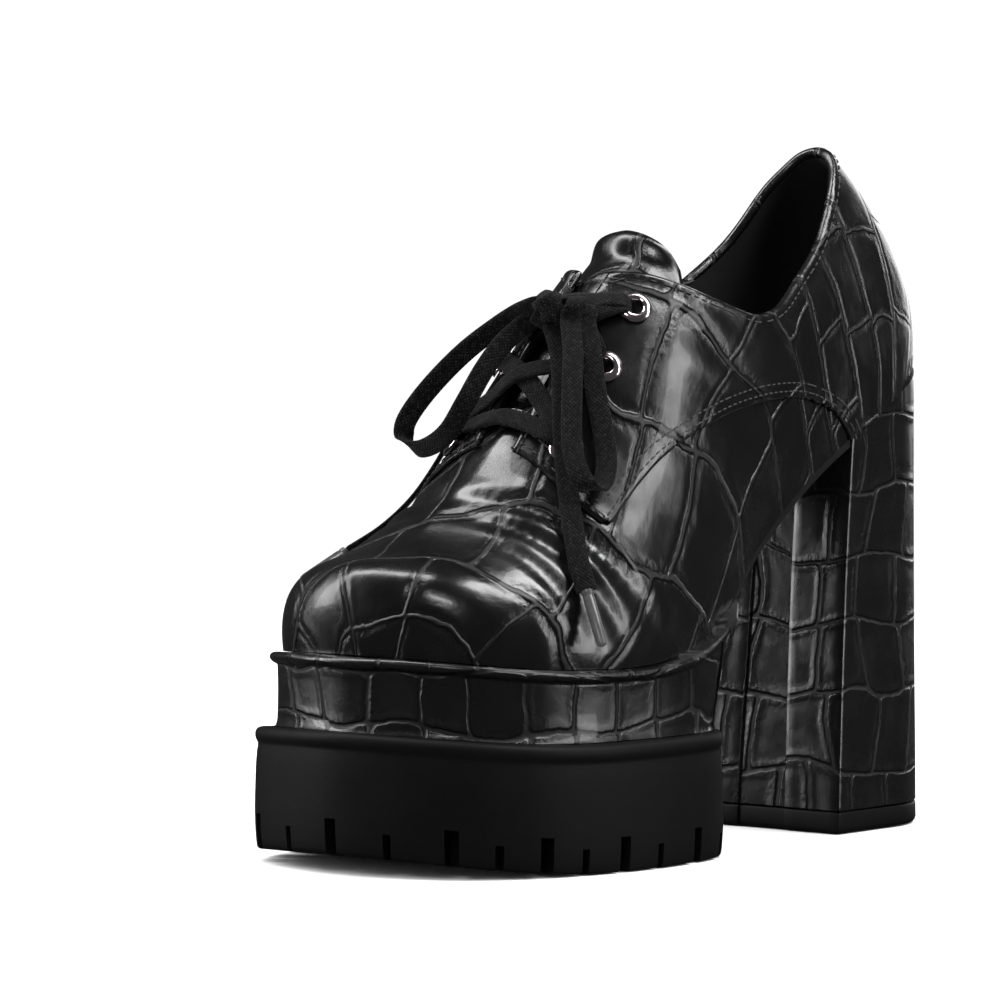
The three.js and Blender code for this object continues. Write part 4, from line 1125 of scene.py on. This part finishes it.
# %% Heel block
HEEL_SIDE = np.array([[0, 1.0, 0.0, 0.0], [0.45, 0.945, 0.085, -0.012], [1.05, 0.93, 0.185, -0.035]])
SEAT = PLATFORM_TOP + SEAT_RISE


def heel_ring(z, swell=0.0):
    row = along(HEEL_SIDE, np.array(min(z / SEAT / 1.05 * 2, 2 - 1e-6)), closed=False)
    half = HEEL_WIDTH / 2 * row[1]
    breast = HEEL_BACK + HEEL_SET_BACK - HEEL_DEPTH + HEEL_DEPTH * row[2]
    back = HEEL_BACK + HEEL_SET_BACK + HEEL_DEPTH * row[3]
    middle = breast + 0.44 * (back - breast)
    turn = np.linspace(0, math.pi / 2, 26)
    round_back = np.column_stack([half * 0.945 * np.sin(turn) ** 0.92,
                                  middle + (back - middle) * np.cos(turn) ** 0.92])
    end = round_back[-1]
    t = np.linspace(0, 1, 16)[1:-1, None]
    corner = np.array([half, breast])
    side = end + (corner - end) * t
    r = 0.8 * MM
    bend = [corner + [-0.05 * r, r], corner + [-0.3 * r, 0.3 * r], corner + [-r, 0.02 * r]]
    step = half - 21 * MM
    face = [[step + 0.5 * MM, breast], [step, breast + 0.15 * MM], [step - 0.25 * MM, breast + 0.7 * MM]]
    inner = [[x, breast + 0.7 * MM] for x in np.linspace(step - 2 * MM, 0, 5)]
    halves = np.vstack([round_back, side, bend, np.linspace(bend[-1], face[0], 7)[1:-1], face, inner])
    mirrored = halves[-2:0:-1] * [-1, 1]
    ring = np.vstack([halves, mirrored])
    if swell:
        centre = np.array([0, (breast + back) / 2])
        ring = ring + unit(ring - centre) * swell
    return np.column_stack([AXIS_X + ring[:, 0], ring[:, 1]])


heights = np.concatenate([[LIFT_HEIGHT, LIFT_HEIGHT + 0.3 * MM], np.linspace(LIFT_HEIGHT + 1 * MM, SEAT * 1.02, 60)])
rings = []
for i, z in enumerate(heights):
    ring = heel_ring(z, swell=-0.35 * MM if i == 0 else 0)
    top = bottom_at(ring[:, 1]) - CLEAR
    rings.append(np.column_stack([ring, np.minimum(z, top)]))
# The panel across the breast is a piece of its own, so its scales don't run on from the wrap's
panel_part = np.abs(rings[0][:, 0] - AXIS_X) < HEEL_WIDTH / 2 - 21.1 * MM
panel_part &= rings[0][:, 1] < HEEL_BACK - 0.5 * HEEL_DEPTH
heel = stack("heel_wrap", rings, angle=40, shift=np.where(panel_part, 11 * MM, 0))
print("heel faces", len(heel.data.polygons))

# %% Lift under the heel
lift_rows = [(0, -1.3), (0.25, -0.7), (0.8, -0.25), (1.6, 0), (5.6, 0), (6.0, -0.15), (6.3, -0.6)]
rings = []
for up, out in lift_rows:
    ring = heel_ring(up * MM + 1e-5, out * MM)
    rings.append(np.column_stack([ring, np.full(len(ring), up * MM)]))
lift = stack("heel_lift", rings, angle=40)
print("lift faces", len(lift.data.polygons))

# %% [markdown]
# Materials. The black leather is embossed with scales two or three centimetres across, in rows
# parted by narrow grooves with puckered sides. The rows are laid out on the leather's own map,
# which is the hide laid flat, so they follow it round the shoe. Each row is set off from the last
# by a chance amount, and a slow noise bends the map, so that no line is straight.

# %% Leather
def scale_leather(name, along=30 * MM, row=23 * MM, turn=0.0, depth=0.5, gloss=0.2, shift=0.0):
    paint = Paint(name)
    skin = paint.skin()
    slow = paint.add("ShaderNodeTexNoise", None, {"Vector": skin, "Scale": 21.0, "Detail": 1.0}, out=1)
    slow = paint.add("ShaderNodeVectorMath", {"operation": "SUBTRACT"}, {0: slow, 1: (0.5, 0.5, 0.5)})
    slow = paint.add("ShaderNodeVectorMath", {"operation": "SCALE"}, {0: slow, "Scale": 22 * MM})
    quick = paint.add("ShaderNodeTexNoise", None, {"Vector": skin, "Scale": 170.0, "Detail": 2.0}, out=1)
    quick = paint.add("ShaderNodeVectorMath", {"operation": "SUBTRACT"}, {0: quick, 1: (0.5, 0.5, 0.5)})
    quick = paint.add("ShaderNodeVectorMath", {"operation": "SCALE"}, {0: quick, "Scale": 1.7 * MM})
    bent = paint.add("ShaderNodeVectorMath", {"operation": "ADD"}, {0: skin, 1: slow})
    bent = paint.add("ShaderNodeVectorMath", {"operation": "ADD"}, {0: bent, 1: quick})
    bent = paint.add("ShaderNodeMapping", None, {"Vector": bent, "Location": (shift, shift * 0.7, 0),
                                                 "Rotation": (0, 0, turn)})
    split = paint.add("ShaderNodeSeparateXYZ", None, {"Vector": bent})
    lengthwise, crosswise = split, Signal(paint, split.socket.node.outputs[1])
    # Rows of scales; each row is set off from the last by a chance amount
    rows = crosswise * (1 / row)
    chance = paint.add("ShaderNodeTexWhiteNoise", {"noise_dimensions": "1D"}, {"W": rows.floor()})
    scales = lengthwise * (1 / along) + chance
    in_row, in_scale = rows.fraction(), scales.fraction()
    to_row = in_row.least(1 - in_row) * row
    to_scale = in_scale.least(1 - in_scale) * along
    edge = paint.add("ShaderNodeMath", {"operation": "SMOOTH_MIN"}, {0: to_row, 1: to_scale, 2: 2.2 * MM})
    trench = 1 - edge.between(0.15 * MM, 0.8 * MM)
    lip = edge.between(0.4 * MM, 1.0 * MM) * (1 - edge.between(1.1 * MM, 3.2 * MM))
    swell = edge.between(0.8 * MM, 7 * MM)
    # Puckers run across each groove, and broad dents soften the middle of the scales
    crease = paint.noise(bent, 620.0, 3.0, 0.6)
    pucker = crease * (1 - edge.between(1.0 * MM, 4.5 * MM))
    waves = paint.noise(bent, 95.0, 3.0, 0.5)
    grain = paint.noise(paint.place(), 1900.0, 4.0, 0.7)
    patch = paint.noise(paint.place(), 85.0, 2.0).between(0.42, 0.66)
    height = swell * 0.3 + lip * 0.30 - trench + pucker * 0.42 + waves * 0.5
    coarse = paint.bump(height, depth * MM, 1.0)
    normal = paint.bump(grain * (0.35 + patch), 0.05 * MM, 1.0, coarse)
    dust = paint.noise(paint.place(), 60.0, 4.0)
    # The grooves are painted darker than the scales: this is painted shade in the grooves.
    colour = paint.mix(trench, (0.0020, 0.0020, 0.0022, 1), (0.0006, 0.0006, 0.0006, 1))
    colour = paint.mix(dust.between(0.52, 0.8) * 0.3, colour, (0.0055, 0.0055, 0.0058, 1))
    rough = gloss + dust.between(0.35, 0.75) * 0.09 + waves.between(0.4, 0.8) * 0.05 + trench * 0.35
    paint.finish(Base_Color=colour, Roughness=rough, Normal=normal, Coat_Weight=0.2, Coat_Roughness=0.05,
                 Specular_IOR_Level=0.5)
    return paint.material


upper_leather = scale_leather("upper_leather", turn=-0.35)
platform_leather = scale_leather("platform_leather", along=16 * MM, row=15 * MM, depth=0.3, gloss=0.24, shift=7 * MM)
heel_leather = scale_leather("heel_leather", along=19 * MM, row=21 * MM, depth=0.42, gloss=0.24, shift=3 * MM)
print("leathers", [m.name for m in (upper_leather, platform_leather, heel_leather)])


# %% Rubber, lining, waist, metal and lace
def rubber_finish(name):
    paint = Paint(name)
    fine = paint.noise(paint.place(), 900.0, 4.0, 0.65)
    broad = paint.noise(paint.place(), 45.0, 3.0)
    colour = paint.mix(broad, (0.0010, 0.0010, 0.0011, 1), (0.0026, 0.0026, 0.0027, 1))
    return paint.finish(Base_Color=colour, Roughness=0.5 + broad * 0.2, Specular_IOR_Level=0.14,
                        Normal=paint.bump(fine, 0.05 * MM))


def waist_finish(name):
    paint = Paint(name)
    fine = paint.noise(paint.place(), 1400.0, 3.0, 0.6)
    broad = paint.noise(paint.place(), 30.0, 3.0)
    colour = paint.mix(broad, (0.0035, 0.0035, 0.0038, 1), (0.007, 0.007, 0.0073, 1))
    return paint.finish(Base_Color=colour, Roughness=0.24 + broad * 0.1, Normal=paint.bump(fine, 0.03 * MM))


def lining_finish(name):
    paint = Paint(name)
    fine = paint.noise(paint.place(), 1100.0, 4.0, 0.7)
    folds = paint.noise(paint.place(), 55.0, 2.0)
    colour = paint.mix(folds, (0.0018, 0.0018, 0.0018, 1), (0.004, 0.004, 0.004, 1))
    return paint.finish(Base_Color=colour, Roughness=0.75 + folds * 0.15,
                        Normal=paint.bump(fine + folds * 2, 0.05 * MM))


def metal_finish(name):
    paint = Paint(name)
    scratch = paint.noise(paint.place(), 1500.0, 2.0)
    # The pink tint in this metal colour is a painted pink reflection.
    colour = paint.mix(scratch, (0.86, 0.76, 0.79, 1), (0.70, 0.60, 0.64, 1))
    return paint.finish(Base_Color=colour, Metallic=1.0, Roughness=0.10 + scratch * 0.10,
                        Normal=paint.bump(scratch, 0.01 * MM))


def tape_finish(name):
    # Plain weave on the tape's own map: one axis across it, the other along it
    paint = Paint(name)
    parts = paint.add("ShaderNodeSeparateXYZ", None, {"Vector": paint.skin()})
    across = parts
    length = Signal(paint, parts.socket.node.outputs[1])
    rib = (across * (2 * math.pi / (1.1 * MM))).sine()
    pick = (length * (2 * math.pi / (1.3 * MM))).sine()
    cross = rib * pick
    fibre = paint.noise(paint.place(), 3000.0, 3.0, 0.7)
    height = cross * 0.5 + 0.5 + fibre * 0.4
    flecks = paint.noise(paint.place(), 900.0, 3.0, 0.8).between(0.42, 0.72)
    colour = paint.mix(height.between(0.3, 1.3) * flecks, (0.0010, 0.0010, 0.0010, 1), (0.021, 0.021, 0.0215, 1))
    return paint.finish(Base_Color=colour, Roughness=0.82 + fibre * 0.12, Normal=paint.bump(height, 0.16 * MM),
                        Sheen_Weight=0.03, Sheen_Roughness=0.5, Specular_IOR_Level=0.12)


def tip_finish(name):
    paint = Paint(name)
    broad = paint.noise(paint.place(), 300.0, 2.0)
    colour = paint.mix(broad, (0.03, 0.03, 0.032, 1), (0.06, 0.06, 0.062, 1))
    return paint.finish(Base_Color=colour, Roughness=0.22 + broad * 0.15, Normal=paint.bump(broad, 0.03 * MM))


rubber = rubber_finish("matte_rubber")
waist_cover = waist_finish("waist_leather")
inside = lining_finish("black_lining")
chrome = metal_finish("eyelet_metal")
woven = tape_finish("woven_tape")
tip = tip_finish("aglet_film")
print("materials", len(bpy.data.materials))

# %% [markdown]
# Each piece takes its finish and rides on the shoe's one body. The pieces that stand for plain
# solids of the CAD model replace them; the others keep their own solid and get a finish.

# %% Dress the shoe
def settle(piece, material, slot, *nodes):
    wear(piece, material)
    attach(piece, "root")
    if nodes:
        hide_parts(*nodes)


settle(vamp, upper_leather, "leather")
settle(quarters, upper_leather, "leather", "upper")
settle(lining, inside, "lining")
settle(tongue, upper_leather, "leather", "tongue")
settle(platform, platform_leather, "leather", "platform")
settle(rubber_sole, rubber, "rubber", "outsole")
settle(heel, heel_leather, "leather", "heel")
settle(lift, rubber, "rubber", "top_lift")
settle(laced, woven, "lace", "lacing")
settle(knot, woven, "lace", "lace_knot")
for node, ring in eyelets.items():
    settle(ring, chrome, "chrome", node)
for side, piece in aglets.items():
    settle(piece, tip, "aglet", "aglet_" + side)
for name, (piece, path, length) in bow_parts.items():
    settle(piece, woven, "lace", name)
for node, finish in (("waist_cover", waist_cover), ("insole", inside)):
    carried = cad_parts[node]
    carried.data.materials.clear()
    carried.data.materials.append(finish)

# %% [markdown]
# Stitches follow the edges of the panels. The line that each row follows is found on the last,
# where the distance from an edge has one value, and a node group then sets the stitches out
# along it: resampled to the stitch length, one small thread turned along the line at each place.

# %% Stitch rows
def level_line(name, panel, field, level, lift):
    uv, faces = cut(panel, field, [level], keep=False)
    near = np.abs(field(uv) - level) < 0.004 * MM
    pairs = {tuple(sorted((a, b))) for f in faces for a, b in zip(f, f[1:] + f[:1]) if near[a] and near[b]}
    places = off_last(uv[:, 0], np.maximum(uv[:, 1], 0), lift)
    normals = last_normals(uv[:, 0], np.maximum(uv[:, 1], 0))
    used = sorted({i for pair in pairs for i in pair})
    number = {old: new for new, old in enumerate(used)}
    mesh = bpy.data.meshes.new(name)
    mesh.from_pydata([tuple(places[i]) for i in used], [(number[a], number[b]) for a, b in pairs], [])
    up = mesh.attributes.new("up", "FLOAT_VECTOR", "POINT")
    up.data.foreach_set("vector", normals[used].astype(np.float32).ravel())
    piece = bpy.data.objects.new(name, mesh)
    bpy.context.collection.objects.link(piece)
    return piece


def row_group(name, sizes):
    # A node group with a named input for each size, and a curve resampled to the first of them
    group = bpy.data.node_groups.new(name, "GeometryNodeTree")
    face = group.interface
    face.new_socket("Geometry", in_out="OUTPUT", socket_type="NodeSocketGeometry")
    face.new_socket("Geometry", in_out="INPUT", socket_type="NodeSocketGeometry")
    ids = {}
    for label, value in sizes.items():
        socket = face.new_socket(label, in_out="INPUT", socket_type="NodeSocketFloat")
        socket.default_value = value
        ids[label] = socket.identifier
    node, link = group.nodes.new, group.links.new
    given = node("NodeGroupInput")
    to_curve, resample = node("GeometryNodeMeshToCurve"), node("GeometryNodeResampleCurve")
    resample.mode = "LENGTH"
    link(given.outputs["Geometry"], to_curve.inputs[0])
    link(to_curve.outputs[0], resample.inputs["Curve"])
    link(given.outputs[list(sizes)[0]], resample.inputs["Length"])
    return group, ids, node, link, given, resample


def close_group(node, link, last, material):
    # Real geometry, smooth and with its finish, is what leaves the group
    real, smoothed = node("GeometryNodeRealizeInstances"), node("GeometryNodeSetShadeSmooth")
    finish, result = node("GeometryNodeSetMaterial"), node("NodeGroupOutput")
    finish.inputs["Material"].default_value = material
    link(last.outputs[0], real.inputs[0])
    link(real.outputs[0], smoothed.inputs[0])
    link(smoothed.outputs[0], finish.inputs["Geometry"])
    link(finish.outputs[0], result.inputs[0])


def grow(line, group, ids, sizes, material, slot):
    # The line becomes what the group makes of it, as a plain mesh
    modifier = line.modifiers.new("row", "NODES")
    modifier.node_group = group
    for label, value in sizes.items():
        modifier[ids[label]] = value
    shape = bpy.data.meshes.new_from_object(line.evaluated_get(bpy.context.evaluated_depsgraph_get()))
    line.modifiers.clear()
    line.data = shape
    settle(line, material, slot)
    return len(shape.polygons)


def stitch_group(sizes, material):
    group, ids, node, link, given, resample = row_group("stitch_row", sizes)
    tangent = node("GeometryNodeInputTangent")
    up = node("GeometryNodeInputNamedAttribute")
    up.data_type = "FLOAT_VECTOR"
    up.inputs["Name"].default_value = "up"
    turn_along, turn_up = node("FunctionNodeAlignRotationToVector"), node("FunctionNodeAlignRotationToVector")
    turn_along.axis, turn_up.axis, turn_up.pivot_axis = "X", "Z", "X"
    link(tangent.outputs[0], turn_along.inputs["Vector"])
    link(turn_along.outputs[0], turn_up.inputs["Rotation"])
    link(up.outputs["Attribute"], turn_up.inputs["Vector"])
    thread = node("GeometryNodeMeshIcoSphere")
    thread.inputs["Radius"].default_value = 0.5
    thread.inputs["Subdivisions"].default_value = 2
    size = node("ShaderNodeCombineXYZ")
    link(given.outputs["Stitch length"], size.inputs[0])
    link(given.outputs["Thread width"], size.inputs[1])
    link(given.outputs["Thread width"], size.inputs[2])
    place = node("GeometryNodeInstanceOnPoints")
    link(resample.outputs[0], place.inputs["Points"])
    link(thread.outputs["Mesh"], place.inputs["Instance"])
    link(turn_up.outputs[0], place.inputs["Rotation"])
    link(size.outputs[0], place.inputs["Scale"])
    close_group(node, link, place, material)
    return group, ids


def thread_finish(name):
    paint = Paint(name)
    fibre = paint.noise(paint.place(), 4000.0, 2.0)
    colour = paint.mix(fibre, (0.010, 0.010, 0.010, 1), (0.030, 0.030, 0.030, 1))
    return paint.finish(Base_Color=colour, Roughness=0.5 + fibre * 0.2, Normal=paint.bump(fibre, 0.05 * MM))


thread = thread_finish("black_thread")
STITCH = {"Stitch pitch": 2.6 * MM, "Stitch length": 2.0 * MM, "Thread width": 0.55 * MM}
stitch_nodes, stitch_ids = stitch_group(STITCH, thread)
top = LAP + 0.06 * MM
rows = {
    "stitch_seam_low": level_line("stitch_seam_low", quarter, seam_field, 1.6 * MM, top),
    "stitch_seam_high": level_line("stitch_seam_high", quarter, seam_field, 4.0 * MM, top),
    "stitch_edge": level_line("stitch_edge", quarter, edge_field, 2.6 * MM, top + 0.12 * MM),
}
for name, row in rows.items():
    print(name, "faces", grow(row, stitch_nodes, stitch_ids, STITCH, thread, "lace"))

# %% [markdown]
# The quarter's cut edge isn't turned over. It is painted dull black, and the paint stands as a
# thin bead at the foot of the step; the bead is also painted shade in the step, so the seam reads as one dark line.

# %% Painted edge and painted shade in the step
def bead_group(sizes, material):
    group, ids, node, link, given, resample = row_group("edge_bead", sizes)
    round_section, tube = node("GeometryNodeCurvePrimitiveCircle"), node("GeometryNodeCurveToMesh")
    round_section.inputs["Resolution"].default_value = 8
    link(given.outputs["Bead radius"], round_section.inputs["Radius"])
    link(resample.outputs[0], tube.inputs["Curve"])
    link(round_section.outputs[0], tube.inputs["Profile Curve"])
    tube.inputs["Fill Caps"].default_value = True
    close_group(node, link, tube, material)
    return group, ids


# The dull black bead is the edge paint and also painted shade in the step under the cut edge.
edge_paint_and_shade = lining_finish("edge_paint_and_shade")
BEAD = {"Bead step": 0.8 * MM, "Bead radius": 0.55 * MM}
bead_nodes, bead_ids = bead_group(BEAD, edge_paint_and_shade)
bead = level_line("seam_paint_and_shade_bead", quarter, seam_field, 0.12 * MM, LAP * 0.5)
print("edge bead faces", grow(bead, bead_nodes, bead_ids, BEAD, edge_paint_and_shade, "leather"))

# %% [markdown]
# A plain pale floor and soft boxes of light. Glossy black shows its shape only by what it
# reflects, so the lights are large, and stand where the highlights of the photograph ask.

# %% Floor and light
bpy.ops.mesh.primitive_plane_add(size=1.5, location=(0, 0, -0.0003))
floor = bpy.context.object
floor.name = "floor"
floor_paint = Paint("pale_floor")
speck = floor_paint.noise(floor_paint.place(), 3.0, 2.0)
floor_paint.finish(Base_Color=floor_paint.mix(speck, (0.89, 0.89, 0.89, 1), (0.91, 0.91, 0.91, 1)), Roughness=0.8,
                   Specular_IOR_Level=0.1)
floor.data.materials.append(floor_paint.material)
floor.visible_glossy = False


def softbox(name, place, target, size, power):
    lamp = bpy.data.lights.new(name, "AREA")
    lamp.shape = "RECTANGLE"
    lamp.size, lamp.size_y = size
    lamp.energy = power
    holder = bpy.data.objects.new(name, lamp)
    bpy.context.collection.objects.link(holder)
    holder.location = place
    holder.rotation_euler = (Vector(place) - Vector(target)).to_track_quat("Z", "Y").to_euler()


centre = Vector((0, 0, 0.1))
softbox("over", (0.45, 0.25, 1.0), centre, (0.35, 0.7), 11)
softbox("over_left", (-0.5, -0.3, 1.1), centre, (0.3, 0.8), 8)
softbox("left_wall", (-1.0, -0.6, 0.5), centre, (0.25, 1.0), 8)
softbox("right_wall", (1.1, 0.5, 0.4), centre, (0.22, 0.9), 6)
softbox("front_strip", (0.5, -1.5, 1.0), centre, (0.6, 0.2), 6)
softbox("back_wall", (-0.5, 1.5, 0.5), centre, (1.0, 0.9), 9)
world = bpy.data.worlds.new("studio")
world.use_nodes = True
world_nodes, world_links = world.node_tree.nodes, world.node_tree.links
backlight = world_nodes["Background"]
backlight.inputs[0].default_value = (1, 1, 1, 1)
# The paper behind is white to the eye and lights the floor, yet mirrors only dimly in the leather
ray = world_nodes.new("ShaderNodeLightPath")
dim = world_nodes.new("ShaderNodeMapRange")
world_links.new(ray.outputs["Is Glossy Ray"], dim.inputs["Value"])
dim.inputs["To Min"].default_value = 1.04
dim.inputs["To Max"].default_value = 0.05
world_links.new(dim.outputs[0], backlight.inputs[1])
bpy.context.scene.world = world
bpy.context.scene.view_settings.view_transform = "Standard"
print("lights", len(bpy.data.lights))
